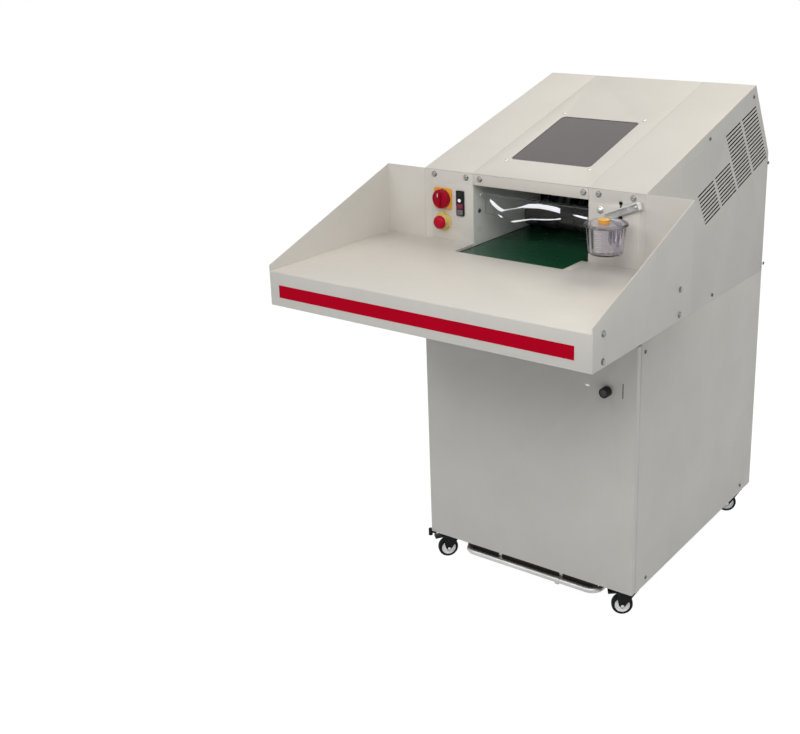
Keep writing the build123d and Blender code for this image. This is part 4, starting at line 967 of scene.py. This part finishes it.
@dataclass
class Fasteners:
    """Bolts and screws that show on the sheets."""

    bench: Bench
    lip: float = -0.7042
    wing_face: float = 0.5
    wing_reaches: tuple[float, ...] = (0.049, 0.456)
    wing_drops: tuple[float, ...] = (0.012, 0.080)
    front_row: tuple[float, ...] = (-0.327, -0.214, -0.167, 0.174, 0.221, 0.325)
    front_rise: float = 0.193
    bolt_turn: float = 0.37
    side_face: float = 0.362
    side_spots: tuple[Pair, ...] = (
        (0.984, -0.188), (1.393, -0.186), (0.920, 0.295), (1.235, 0.377),
        (1.385, 0.150), (0.587, -0.955), (1.296, -0.953), (0.545, -0.235),
    )
    rear_face: float = 0.6788
    rear_half: float = 0.34
    rear_heights: tuple[float, ...] = (0.16, 0.5, 0.82, 0.93, 1.2)
    window_half: float = 0.138
    window_reaches: tuple[float, ...] = (0.098, 0.439)
    dome_place: Point = (0.228, RAISED_FACE, TABLE + 0.151)

    def hex_bolt(self) -> Piece:
        """Washer with a chamfered hexagon head and the dimple in its middle.

        Returns:
            The bolt.
        """
        washer = self.bench.turn("washer", ((9.2, 0), (9.2, 0.8), (8.8, 1.1), (6, 1.1)), 32)
        head = self.bench.turn("head", ((7.3, 1), (7.3, 4), (6.6, 4.7), (5.8, 5), (3.6, 5),
                                        (2.6, 4.4), (0.6, 4.2)), 6)
        return self.bench.smooth(self.bench.weld("hex_bolt", [washer, head]))

    def socket_screw(self, finish: str) -> Piece:
        """Low button head with a six-sided socket, a black hexagon that paints the socket's shade.

        Args:
            finish: Name of the head's finish.

        Returns:
            The screw.
        """
        head = self.bench.turn("button", ((5.6, 0), (5.6, 0.9), (5.1, 2), (4, 2.7), (2.6, 3)),
                               36)
        socket = self.bench.turn("socket", ((1.9, 2.6), (1.9, 3.05)), 6)
        self.bench.paint(head, finish)
        self.bench.paint(socket, "print_and_recess_shade_black")
        return self.bench.smooth(self.bench.weld("socket_screw", [head, socket]))

    def row(self, model: Piece, places: Sequence[Matrix]) -> list[Piece]:
        """Copy a fastener to its places and take the model away.

        Args:
            model: The fastener.
            places: Where its copies stand.

        Returns:
            The copies.
        """
        copies = [self.bench.copy(model, place) for place in places]
        bpy.data.objects.remove(model)
        return copies

    def bolts(self) -> None:
        """Fourteen hexagon bolts, in the place of the plain heads."""
        places = [
            along((side * self.wing_face, self.lip + reach, TABLE - drop), (side, 0, 0))
            for side in (-1, 1)
            for reach in self.wing_reaches
            for drop in self.wing_drops
        ]
        places += [along((x, FRONT, TABLE + self.front_rise), FORWARD) for x in self.front_row]
        turned = [place @ Matrix.Rotation(self.bolt_turn * index, 4, "Z")
                  for index, place in enumerate(places)]
        piece = self.bench.weld("hex_bolts", self.row(self.hex_bolt(), turned))
        self.bench.deliver(piece, "machine", "zinc_steel", "bolt_zinc", ["panel_bolts"])

    def screws(self) -> None:
        """Dark button screws on the sides and the rear, light ones round the window."""
        dark = [
            along((side * self.side_face, self.lip + y, TABLE + z), (side, 0, 0))
            for side in (-1, 1)
            for y, z in self.side_spots
        ]
        dark += [along((side * self.rear_half, self.rear_face, z), (0, 1, 0))
                 for side in (-1, 1) for z in self.rear_heights]
        rise, run = math.sin(HOOD_SLOPE), math.cos(HOOD_SLOPE)
        light = [
            along((side * self.window_half, FRONT + reach * run, SLOPE_FOOT + reach * rise),
                  (0.0, -rise, run))
            for side in (-1, 1)
            for reach in self.window_reaches
        ]
        screws = self.row(self.socket_screw("dull_screw"), dark)
        screws += self.row(self.socket_screw("bright_zinc"), light)
        self.bench.hand_over(self.bench.weld("socket_screws", screws), "machine", "zinc_steel")

    def build(self) -> None:
        """Make all fasteners, with the round-headed bolt left of the oil cup."""
        self.bolts()
        self.screws()
        dome = self.bench.turned("dome_bolt", ((10, 0), (10, 1.4), (8.6, 2.2), (8, 4),
                                               (6.6, 5.6), (4, 6.8), (1.5, 7.2)), 40,
                                 along(self.dome_place, FORWARD))
        self.bench.deliver(dome, "machine", "zinc_steel", "bright_zinc")


@dataclass(frozen=True)
class Key:
    """One key of the keypad and the sign on it."""

    node: str
    slot: str
    finish: str
    sign_slot: str
    ink: str
    radius: float
    sides: int
    turn: float = 0.0


@dataclass
class Controls:
    """Main switch, stop button and keypad."""

    bench: Bench
    plate_face: float = -0.1847
    switch: Pair = (-0.296, 1.201)
    switch_reach: float = 0.033
    pointer_half: float = 0.0012
    pointer_depth: Pair = (-0.0001, 0.0006)
    pointer_rise: Pair = (0.008, 0.0185)
    switch_dots: tuple[tuple[float, float, int], ...] = (
        (0.0255, 0.0, 20), (-0.0255, 0.0, 20), (0.0, 0.0275, 6))
    stop: Pair = (-0.297, 1.132)
    arrow_radius: float = 0.0245
    arrow_step: float = 0.13
    keys: tuple[Key, ...] = (
        Key("standby_button", "button_black", "key_black", "button_black", "key_red", 1.2, 20),
        Key("start_button", "button_black", "key_black", "button_white", "key_white", 5.2, 32),
        Key("stop_button", "button_red", "key_red", "button_red", "print_and_recess_shade_black", 2.0, 4, 45.0),
        Key("reverse_button", "button_grey", "key_grey", "button_grey", "print_and_recess_shade_black", 2.6, 3,
            90.0),
    )

    def plates(self) -> None:
        """Orange square plate and pale yellow disc with its collar."""
        piece = self.bench.dress("switch_plates", "switch_backs", "machine", "yellow_plate",
                                 "orange_plate", 0.0006)
        border = self.switch[1] - self.switch_reach
        self.bench.repaint(piece, "pale_yellow_disc", lambda face: face.center.z < border)

    def dot(self, x: float, z: float, radius: float, sides: int) -> Piece:
        """Printed dot on a plate, at a place across and up, its radius in millimetres."""
        dot = self.bench.turn("dot", ((radius, 0), (radius, 0.2)), sides)
        return self.bench.settle(dot, along((x, self.plate_face, z), FORWARD))

    def marks(self) -> None:
        """Dots at the switch's positions and turning arrows on the disc."""
        x, z = self.switch
        dots = [self.dot(x + across, z + up, 2.1, sides)
                for across, up, sides in self.switch_dots]
        for start in (60.0, 180.0, 300.0):
            for step, (radius, sides) in enumerate(((1.1, 8), (1.1, 8), (1.1, 8), (2.2, 3))):
                angle = math.radians(start) + self.arrow_step * step
                dots.append(self.dot(self.stop[0] + self.arrow_radius * math.cos(angle),
                                     self.stop[1] + self.arrow_radius * math.sin(angle),
                                     radius, sides))
        piece = self.bench.weld("switch_marks", dots)
        self.bench.deliver(piece, "machine", "yellow_plate", "print_and_recess_shade_black")

    def knob(self) -> None:
        """Red rotary knob with its white pointer."""
        self.bench.dress("main_switch_knob", "switch_knob", "main_switch", "switch_red",
                         "switch_red", 0.0016, 3)
        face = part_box("main_switch_knob")[0].y
        x, z = self.switch
        low, high = ((x + side * self.pointer_half, face + depth, z + rise)
                     for side, depth, rise in zip((-1, 1), self.pointer_depth, self.pointer_rise))
        pointer = self.bench.block("switch_pointer", low, high, 0.0002)
        self.bench.deliver(pointer, "main_switch", "button_white", "print_white")

    def stop_button(self) -> None:
        """Mushroom head with a ridge round its skirt."""
        profile = ((8.8, 42), (8.8, 14.3), (19, 14.1), (20, 13.2), (20, 10), (19.5, 7.8),
                   (18.2, 5.2), (16, 3), (12.8, 1.3), (8, 0.4), (3, 0))
        place = Matrix.Translation((self.stop[0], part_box("estop_button")[0].y, self.stop[1]))
        piece = self.bench.turned("stop_head", profile, 64,
                                  place @ Matrix.Rotation(-math.pi / 2, 4, "X"))
        self.bench.deliver(piece, "stop_switch", "switch_red", "stop_red", ["estop_button"])

    def keypad(self) -> None:
        """Bezel and its four keys, each with a small sign."""
        self.bench.dress("keypad_bezel", "keypad_frame", "machine", "black_plastic",
                         "moulded_black", 0.0005)
        for key in self.keys:
            low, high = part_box(key.node)
            self.bench.dress(key.node, key.node + "_cap", key.node, key.slot, key.finish, 0.0005)
            profile = ((key.radius, 0), (key.radius, 0.2), (key.radius * 0.8, 0.4))
            sign = self.bench.turn(key.node + "_sign", profile, key.sides)
            spot = ((low.x + high.x) / 2, low.y, (low.z + high.z) / 2)
            turn = Matrix.Rotation(math.radians(key.turn), 4, "Z")
            self.bench.settle(sign, along(spot, FORWARD) @ turn)
            self.bench.deliver(sign, key.node, key.sign_slot, key.ink)

    def build(self) -> None:
        """Make all controls."""
        self.plates()
        self.marks()
        self.knob()
        self.stop_button()
        self.keypad()


@dataclass
class OilStation:
    """Clear oil cup with its scale, lid and swinging arm."""

    bench: Bench
    x: float = 0.288
    y: float = -0.2602
    foot: float = 1.135
    flutes: int = 16
    flute_depth: float = 0.026
    fluted: Pair = (0.004, 0.0775)
    bore: float = 0.0448
    bore_taper: float = 0.07
    mouth: float = 0.0500
    lug_half: float = 0.012
    lug_reach: float = 0.0478
    lug_heights: Pair = (1.147, 1.187)
    scale_steps: int = 9
    scale_pitch: float = 0.0062
    scale_foot: float = 0.014
    scale_turn: float = 0.12 - math.pi / 2
    scale_widths: Pair = (0.30, 0.18)
    dashes: int = 6
    dash_low: Point = (-0.0016, -0.0004, -0.0005)
    dash_high: Point = (0.0016, 0.0002, 0.0005)
    wall_radius: float = 0.0473
    wall_taper: float = 0.0068 / 0.0745
    lid_step: float = 0.008
    cap_shift: float = 0.006
    plug_place: Point = (0.289, RAISED_FACE, 1.213)
    arm_pivot: Point = (0.338, -0.1882, 1.250)
    arm_tilt: float = math.radians(-22.7)
    arm_rims: tuple[tuple[Point, Point], ...] = (
        ((-0.0960, -0.0105, 0.0100), (0.0150, 0.0, 0.0106)),
        ((0.0150, -0.0165, -0.0100), (0.0156, 0.0, 0.0106)),
    )
    arm_screw_reach: float = 0.0025

    def cup(self) -> None:
        """Tapered jar with a fluted inside, a rolled rim and its lug."""
        profile = ((44, 0), (46.2, 1.2), (47, 3.5), (53.8, 74.5), (59.2, 75.2), (60, 76),
                   (60, 77.2), (59.2, 78), (50.2, 78), (49.6, 77), (44.7, 6), (43, 4.2),
                   (40, 3.5))
        jar = self.bench.turn("jar", profile, 96)
        for vertex in jar.data.vertices:
            x, y, z = vertex.co
            inner = min(self.mouth, self.bore + self.bore_taper * z)
            if self.fluted[0] < z < self.fluted[1] and math.hypot(x, y) < inner:
                crown = 0.5 + 0.5 * math.cos(self.flutes * math.atan2(y, x))
                share = 1.0 - self.flute_depth * crown
                vertex.co = (x * share, y * share, z)
        self.bench.settle(jar, Matrix.Translation((self.x, self.y, self.foot)))
        low, high = self.lug_heights
        lug = self.bench.block("lug", (self.x - self.lug_half, self.y + self.lug_reach, low),
                               (self.x + self.lug_half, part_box("oil_cup")[1].y, high), 0.0015, 3)
        piece = self.bench.weld("oil_jar", [self.bench.smooth(jar), lug])
        self.bench.deliver(piece, "machine", "clear_plastic", "clear_jar", ["oil_cup"])

    def scale(self) -> None:
        """Raised graduations on the front of the jar, every other one wide."""
        row = []
        for step in range(self.scale_steps):
            z = self.scale_foot + self.scale_pitch * step
            radius = self.wall_radius + self.wall_taper * z
            for index in range(self.dashes):
                share = index / (self.dashes - 1) - 0.5
                angle = self.scale_turn + self.scale_widths[step % 2] * share
                spot = (self.x + radius * math.cos(angle), self.y + radius * math.sin(angle),
                        self.foot + z)
                dash = self.bench.block("dash", self.dash_low, self.dash_high)
                turn = Matrix.Rotation(angle + math.pi / 2, 4, "Z")
                row.append(self.bench.settle(dash, Matrix.Translation(spot) @ turn))
        piece = self.bench.weld("jar_scale", row)
        self.bench.deliver(piece, "machine", "clear_plastic", "print_white")

    def lid(self) -> None:
        """Clear lid with a low orange cap."""
        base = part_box("oil_cup_lid")[0].z + self.lid_step
        disc = self.bench.turned("cup_lid", ((47.4, -7.5), (47.4, 0), (57.2, 0), (57.9, 0.8),
                                             (57.9, 2.2), (57, 3), (30, 3)), 96,
                                 Matrix.Translation((self.x, self.y, base)))
        self.bench.deliver(disc, "oil_lid", "clear_plastic", "clear_jar", ["oil_cup_lid"])
        grip = self.bench.turned("cup_grip", ((16, 3), (16.4, 4), (15.8, 6.2), (16, 8.8),
                                              (16.4, 10.4), (15.6, 12.2), (14, 13), (6, 13)), 36,
                                 Matrix.Translation((self.x - self.cap_shift, self.y, base)))
        self.bench.deliver(grip, "oil_lid", "lid_orange", "orange_cap")

    def plug(self) -> None:
        """Black plug in the raised panel behind the cup."""
        plug = self.bench.turned("panel_plug", ((6.2, 0), (6.2, 0.8), (5.2, 1.6), (2.4, 2)), 32,
                                 along(self.plug_place, FORWARD))
        self.bench.deliver(plug, "machine", "black_plastic", "moulded_black")

    def arm(self) -> None:
        """Folded arm with glowing near-white strips on its edges as a painted highlight, and its
        pivot screw.
        """
        self.bench.dress("oil_arm", "oil_arm_sheet", "oil_arm", "zinc_steel", "arm_zinc", 0.0005)
        # glowing strips along the arm's edges paint its highlight
        edges = [self.bench.block("edge", low, high) for low, high in self.arm_rims]
        place = Matrix.Translation(self.arm_pivot) @ Matrix.Rotation(self.arm_tilt, 4, "Y")
        rim = self.bench.settle(self.bench.weld("arm_highlight_strips", edges), place)
        self.bench.deliver(rim, "oil_arm", "zinc_steel", "arm_painted_highlight")
        x, y, z = self.arm_pivot
        head = self.bench.turned("arm_screw", ((5.8, 0), (5.8, 1.6), (4.8, 2.8), (3, 3.4)), 32,
                                 along((x, y - self.arm_screw_reach, z), FORWARD))
        self.bench.deliver(head, "oil_arm", "zinc_steel", "bright_zinc")

    def build(self) -> None:
        """Make the whole oil station."""
        self.cup()
        self.scale()
        self.lid()
        self.plug()
        self.arm()


@dataclass
class ThroatCurtain:
    """Clear waved curtain that hangs from its rod across the throat.

    A highlight line is a line of places across, heights and half widths; a glowing white band
    along it paints a highlight on the curtain.
    """

    bench: Bench
    half: float = 0.1715
    top: float = 1.2165
    drop: float = 0.066
    middle: float = -0.1405
    sway: float = 0.0036
    bow: float = 0.0030
    lift: float = 0.0015
    hem: float = 0.006
    thickness: float = 0.0016
    band_thickness: float = 0.0004
    band_gap: float = 0.0003
    band_crown: float = 0.0010
    rod_place: Point = (0.0, -0.1422, 1.217)
    highlight_lines: tuple[tuple[Point, ...], ...] = (
        ((-0.156, 1.2030, 0.0034), (-0.147, 1.1965, 0.0058), (-0.129, 1.1855, 0.0064),
         (-0.115, 1.1790, 0.0052), (-0.106, 1.1795, 0.0018), (-0.088, 1.1850, 0.0008),
         (-0.066, 1.1900, 0.0008), (-0.048, 1.1955, 0.0020), (-0.024, 1.2015, 0.0058),
         (0.008, 1.2045, 0.0066), (0.040, 1.2040, 0.0066), (0.066, 1.2020, 0.0070),
         (0.080, 1.1995, 0.0068)),
        ((0.122, 1.1935, 0.0008), (0.134, 1.1925, 0.0024), (0.154, 1.1905, 0.0030),
         (0.169, 1.1895, 0.0026)),
        ((-0.128, 1.1640, 0.0008), (-0.120, 1.1600, 0.0024), (-0.111, 1.1575, 0.0008)),
        ((-0.082, 1.1490, 0.0008), (-0.070, 1.1510, 0.0028), (-0.048, 1.1560, 0.0024),
         (-0.020, 1.1625, 0.0013), (0.012, 1.1660, 0.0016), (0.040, 1.1695, 0.0018),
         (0.064, 1.1735, 0.0014), (0.082, 1.1775, 0.0020)),
    )

    def surface(self, x: float, z: float) -> float:
        """Depth of the curtain's middle at a place across and up.

        Args:
            x: Place across the throat.
            z: Height.

        Returns:
            The place into the machine.
        """
        down = (self.top - z) / self.drop
        sway = math.sin(26.0 * x + 1.2) + 0.45 * math.sin(61.0 * x + 3.0 * down)
        return self.middle + self.sway * sway * down - self.bow * math.sin(math.pi * down)

    def sheet(self) -> None:
        """Thin clear sheet with soft waves and an uneven lower edge."""
        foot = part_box("guard_flap")[0].z + self.lift
        sheet = self.bench.grid("throat_curtain", 96, 18)
        for vertex in sheet.data.vertices:
            x = 2.0 * self.half * vertex.co.x
            reach = self.top - foot - self.hem * (1.0 + math.sin(20.0 * x - 0.6))
            z = self.top - reach * (0.5 - vertex.co.y)
            vertex.co = (x, self.surface(x, z), z)
        self.bench.thicken(sheet, self.thickness)
        self.bench.deliver(sheet, "guard_flap", "clear_plastic", "clear_sheet", ["guard_flap"])

    def highlight_band(self, line: Sequence[Point]) -> Piece:
        """Glowing white band that follows the sheet, a painted highlight.

        Args:
            line: Place across, height and half width along the band.

        Returns:
            The band.
        """
        spans = len(line) - 1
        highlight_band = self.bench.grid("highlight_band", 8 * spans, 4)
        for vertex in highlight_band.data.vertices:
            place = (vertex.co.x + 0.5) * spans
            index = min(int(place), spans - 1)
            share = place - index
            share = share * share * (3.0 - 2.0 * share)
            x, z, half = (a + (b - a) * share for a, b in zip(line[index], line[index + 1]))
            z += 2.0 * half * vertex.co.y
            crown = self.band_crown * (1.0 - 4.0 * vertex.co.y * vertex.co.y)
            skin = self.surface(x, z) - self.thickness / 2 - self.band_gap
            vertex.co = (x, skin - crown, z)
        return self.bench.thicken(highlight_band, self.band_thickness)

    def build(self) -> None:
        """Make the curtain, its bands of painted highlight and its rod."""
        self.sheet()
        piece = self.bench.weld("curtain_highlight_bands", [self.highlight_band(line) for line in self.highlight_lines])
        self.bench.deliver(piece, "guard_flap", "clear_plastic", "curtain_painted_highlight")
        rod = self.bench.turned("curtain_rod", mirrored(((3.6, 192.5), (4, 192))), 28,
                                along(self.rod_place, RIGHTWARD))
        self.bench.deliver(rod, "guard_flap", "clear_plastic", "clear_sheet")


@dataclass
class ThroatTrim:
    """Black strips along the belt that paint the shade of the gaps beside it, the tray's margin
    right of it and the stud on the left cheek.
    """

    bench: Bench
    gap_shade_place: float = 0.185
    gap_shade_half: float = 0.0046
    gap_shade_low: Pair = (-0.2760, 1.0680)
    gap_shade_high: Pair = (0.1700, 1.0700)
    margin_low: Point = (0.1690, -0.2795, 1.0757)
    margin_high: Point = (0.1903, -0.1790, 1.0769)
    stud_place: Point = (-0.1900, -0.1500, 1.1695)

    def build(self) -> None:
        """Make the trim."""
        # black strips beside the belt paint the shade of its gaps
        gap_shades = [self.bench.block("belt_gap_shade", (x - self.gap_shade_half, *self.gap_shade_low),
                                  (x + self.gap_shade_half, *self.gap_shade_high))
                 for x in (-self.gap_shade_place, self.gap_shade_place)]
        self.bench.deliver(self.bench.weld("belt_gap_shades", gap_shades), "machine", "black_plastic",
                           "moulded_black")
        margin = self.bench.block("tray_margin", self.margin_low, self.margin_high, 0.0003)
        self.bench.deliver(margin, "machine", "cream_paint", "cream_powder_coat")
        stud = self.bench.turned("cheek_stud", ((6.6, 0), (6.6, 1), (4.6, 3), (1.6, 3.6)), 28,
                                 along(self.stud_place, RIGHTWARD))
        self.bench.deliver(stud, "machine", "zinc_steel", "dull_screw")


@dataclass
class TrolleyFront:
    """Nearly black sheet behind the trolley's front tube, painted shade for the space under the
    door, with two tabs, a clamp and its foot.
    """

    bench: Bench
    sheet_low: Point = (-0.2360, -0.1766, 0.0600)
    sheet_high: Point = (0.2360, -0.1752, 0.0985)
    tab_places: tuple[float, ...] = (-0.110, 0.110)
    tab_half: float = 0.0055
    tab_low: Pair = (-0.1800, 0.0680)
    tab_high: Pair = (-0.1766, 0.0980)
    clamp_place: Point = (0.1040, -0.1890, 0.0660)
    foot_low: Point = (0.0980, -0.1960, 0.0540)
    foot_high: Point = (0.1100, -0.1840, 0.0576)

    def build(self) -> None:
        """Make the sheet and its fittings."""
        # nearly black sheet that paints the shade under the door
        sheet = self.bench.block("sheet", self.sheet_low, self.sheet_high)
        self.bench.deliver(sheet, "machine", "black_plastic", "painted_shade_board")
        fittings = [self.bench.block("tab", (x - self.tab_half, *self.tab_low),
                                     (x + self.tab_half, *self.tab_high), 0.0006)
                    for x in self.tab_places]
        clamp = self.bench.turn("clamp", mirrored(((9.2, 9), (10.4, 8.6))), 36, bored=True)
        fittings.append(self.bench.settle(clamp, along(self.clamp_place, RIGHTWARD)))
        fittings.append(self.bench.block("foot", self.foot_low, self.foot_high, 0.0008))
        self.bench.deliver(self.bench.weld("trolley_fittings", fittings), "machine",
                           "chrome_tube", "satin_chrome")


@dataclass
class Casters:
    """Four casters: soft-edged forks, tyres on ribbed hubs and two brake pedals."""

    bench: Bench
    corners: tuple[str, ...] = ("front_left", "front_right", "rear_left", "rear_right")
    tyre_half: Profile = ((22.6, 11.4), (24, 12), (27.2, 12), (29.2, 11.2), (30.8, 9.6),
                          (31.7, 7.6), (32, 5.2))
    hub_half: Profile = ((4.1, 12.6), (8, 12.6), (8.8, 12), (9.2, 7.5), (16.5, 5.8), (20, 7.2),
                         (20.6, 11.4), (22.4, 11.6))
    axle_cap: Profile = ((4.6, 18.4), (5, 18.8), (4.6, 19.6), (3, 20.2))

    def caster(self, corner: str, tyre: Piece, hub: Piece) -> None:
        """Dress one caster.

        Args:
            corner: Name of its corner.
            tyre: Tyre to copy.
            hub: Hub to copy.
        """
        joint = self.bench.joints[corner + "_wheel_roll"]
        place = along(joint["pos_m"], joint["axis"])
        wheel = self.bench.weld(corner + "_tyre", [self.bench.copy(tyre, place)])
        self.bench.deliver(wheel, corner + "_wheel", "caster_wheel", "tyre_rubber",
                           [corner + "_caster_wheel"])
        core = self.bench.weld(corner + "_hub", [self.bench.copy(hub, place)])
        # the hub's finish glows, painting light onto it
        self.bench.deliver(core, corner + "_wheel", "caster_wheel", "hub_nylon_painted_glow")
        caps = [self.bench.settle(self.bench.turn("cap", self.axle_cap, 24),
                                  place @ Matrix.Rotation(turn, 4, "X"))
                for turn in (0.0, math.pi)]
        piece = self.bench.smooth(self.bench.weld(corner + "_axle_caps", caps))
        self.bench.deliver(piece, corner + "_caster", "zinc_steel", "bright_zinc")
        self.bench.dress(corner + "_caster_fork", corner + "_fork_sheet", corner + "_caster",
                         "black_paint", "black_enamel", 0.0004)
        if corner.startswith("front"):
            self.bench.dress(corner + "_brake_pedal", corner + "_pedal_cap", corner + "_pedal",
                             "black_plastic", "moulded_black", 0.0006)

    def build(self) -> None:
        """Make the casters at their places."""
        models = [self.bench.smooth(self.bench.turn(name, mirrored(half), sides, bored=True))
                  for name, half, sides in (("tyre", self.tyre_half, 72),
                                            ("hub", self.hub_half, 60))]
        for corner in self.corners:
            self.caster(corner, *models)
        for model in models:
            bpy.data.objects.remove(model)


@dataclass
class DoorTrim:
    """Lock knob, key slot and small plate on the door."""

    bench: Bench
    face: float = -0.2012
    slot_depth: Pair = (-0.0004, 0.0002)
    knob_place: Pair = (0.269, 0.721)
    slot_low: Pair = (0.3166, 0.708)
    slot_high: Pair = (0.3194, 0.752)
    oval_place: Pair = (0.206, 0.7255)
    oval_stretch: tuple[float, ...] = (1.6, 0.7, 1.0, 1.0)

    def knob(self) -> None:
        """Fluted black lock knob on the solid's shaft and cam."""
        self.bench.dress("door_knob", "lock_knob", "door_lock", "black_plastic",
                         "moulded_black", 0.0006)
        x, z = self.knob_place
        ring = self.bench.turned("lock_ring", ((9.5, 0), (9.5, 0.2), (7.8, 0.4), (7.4, 0.2)), 40,
                                 along((x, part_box("door_knob")[0].y, z), FORWARD))
        self.bench.deliver(ring, "door_lock", "black_plastic", "print_and_recess_shade_black")

    def marks(self) -> None:
        """Upright slot, a flat black strip that paints the shade of its recess, and oval rivet
        beside the knob.
        """
        low, high = ((x, self.face + depth, z) for (x, z), depth in
                     zip((self.slot_low, self.slot_high), self.slot_depth))
        slot = self.bench.block("door_slot", low, high, 0.0002)
        self.bench.deliver(slot, "door", "black_plastic", "print_and_recess_shade_black")
        x, z = self.oval_place
        place = along((x, self.face, z), FORWARD) @ Matrix.Diagonal(self.oval_stretch)
        oval = self.bench.turned("door_oval", ((4.8, 0), (4.8, 0.4), (3.6, 0.8)), 32, place)
        self.bench.deliver(oval, "door", "zinc_steel", "bright_zinc")

    def build(self) -> None:
        """Make the door's trim."""
        self.knob()
        self.marks()


# Studio
@dataclass(frozen=True)
class Lamp:
    """One square soft box."""

    name: str
    place: Point
    aim: Point
    size: float
    power: float
    tint: Colour

    def hang(self) -> None:
        """Hang the soft box and turn it to what it faces."""
        Bench.clear()
        bpy.ops.object.light_add(type="AREA", location=self.place)
        lamp = bpy.context.object
        lamp.name = self.name
        lamp.data.size = self.size
        lamp.data.energy = self.power
        lamp.data.color = self.tint
        facing = Vector(self.aim) - Vector(self.place)
        lamp.rotation_euler = facing.to_track_quat("-Z", "Y").to_euler()


@dataclass
class Studio:
    """Floor, lights, world and camera."""

    focal: float = 1171.16
    centre: Pair = (489.82, 299.65)
    frame_size: tuple[int, int] = (800, 734)
    sensor: float = 36.0
    yaw: float = 34.319
    pitch: float = 17.422
    roll: float = -0.789
    stand: Point = (1.71144, -2.88769, 1.94332)
    floor_size: float = 60.0
    floor_share: float = 0.84
    floor_glow: float = 1.16
    fill: float = 0.23
    lamps: tuple[Lamp, ...] = (
        Lamp("left_box", (-1.5, -3.5, 3.7), (0.0, 0.0, 0.8), 2.2, 41.0, (0.995, 0.99, 0.985)),
        Lamp("right_box", (1.4, -2.9, 3.5), (-0.2, 0.0, 0.9), 2.0, 55.0, (0.995, 0.99, 0.985)),
        Lamp("top_box", (0.3, 1.9, 4.3), (0.0, -0.1, 1.1), 2.6, 66.0, (1.0, 0.935, 0.835)),
        Lamp("side_box", (2.8, -0.9, 3.2), (0.3, 0.0, 1.2), 1.6, 14.0, (0.97, 0.985, 1.0)),
    )

    def floor(self) -> None:
        """Pale floor that keeps the machine's shadow."""
        Bench.clear()
        bpy.ops.mesh.primitive_grid_add(x_subdivisions=4, y_subdivisions=4, size=self.floor_size)
        floor = bpy.context.object
        floor.name = "studio_floor"
        material = bpy.data.materials.new("studio_floor_white")
        material.use_nodes = True
        nodes = material.node_tree.nodes
        graph = Graph(material.node_tree)
        surface = nodes["Principled BSDF"]
        graph.fill(surface, {"Base Color": (0.765, 0.79, 0.825, 1.0), "Roughness": 0.9})
        glow = graph.add("Emission", {"Strength": self.floor_glow})
        share = graph.maths("MULTIPLY", graph.seen(), self.floor_share)
        mix = graph.add("MixShader", {0: share, 1: surface.outputs[0], 2: glow.outputs[0]})
        graph.fill(nodes["Material Output"], {"Surface": mix.outputs[0]})
        floor.data.materials.append(material)

    def world(self) -> None:
        """Even pale surroundings, white where they are seen or reflected."""
        world = bpy.data.worlds.new("studio_world")
        bpy.context.scene.world = world
        world.use_nodes = True
        nodes = world.node_tree.nodes
        graph = Graph(world.node_tree)
        soft = nodes["Background"]
        graph.fill(soft, {"Color": (0.95, 0.975, 1.0, 1.0), "Strength": self.fill})
        white = graph.add("Background", {"Color": (1.0, 1.0, 1.0, 1.0), "Strength": 1.0})
        mix = graph.add("MixShader", {0: graph.seen(), 1: soft.outputs[0], 2: white.outputs[0]})
        graph.fill(nodes["World Output"], {"Surface": mix.outputs[0]})

    def camera(self) -> None:
        """Camera at the photograph's place and angle."""
        yaw, pitch, roll = (math.radians(v) for v in (self.yaw, self.pitch, self.roll))
        ahead = Vector((-math.sin(yaw) * math.cos(pitch), math.cos(yaw) * math.cos(pitch),
                        -math.sin(pitch)))
        right = Vector((math.cos(yaw), math.sin(yaw), 0.0))
        up = right.cross(ahead)
        side = math.cos(roll) * right + math.sin(roll) * up
        top = -math.sin(roll) * right + math.cos(roll) * up
        Bench.clear()
        bpy.ops.object.camera_add()
        camera = bpy.context.object
        camera.name = "portrait_camera"
        turned = Matrix((side, top, -ahead)).transposed().to_4x4()
        camera.matrix_world = Matrix.Translation(self.stand) @ turned
        width, height = self.frame_size
        camera.data.sensor_width = self.sensor
        camera.data.lens = self.focal * self.sensor / width
        camera.data.shift_x = (width / 2 - self.centre[0]) / width
        camera.data.shift_y = (self.centre[1] - height / 2) / width
        camera.data.clip_end = 200.0
        bpy.context.scene.camera = camera

    def build(self) -> None:
        """Set up the whole studio."""
        bpy.context.scene.view_settings.view_transform = "Standard"
        self.floor()
        self.world()
        for lamp in self.lamps:
            lamp.hang()
        self.camera()


def main() -> None:
    """Load the frame, dress it and set up the studio."""
    logging.basicConfig(level=logging.INFO, format="%(name)s: %(message)s")
    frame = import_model()
    bench = Bench(frame, Palette())
    for assembly in (PlainSolids, SheetMetal, Vents, Fasteners, Controls, OilStation,
                     ThroatCurtain, ThroatTrim, TrolleyFront, Casters, DoorTrim):
        assembly(bench).build()
    Studio().build()
    Bench.clear()
    bpy.context.view_layer.update()


if __name__ == "__main__":
    main()
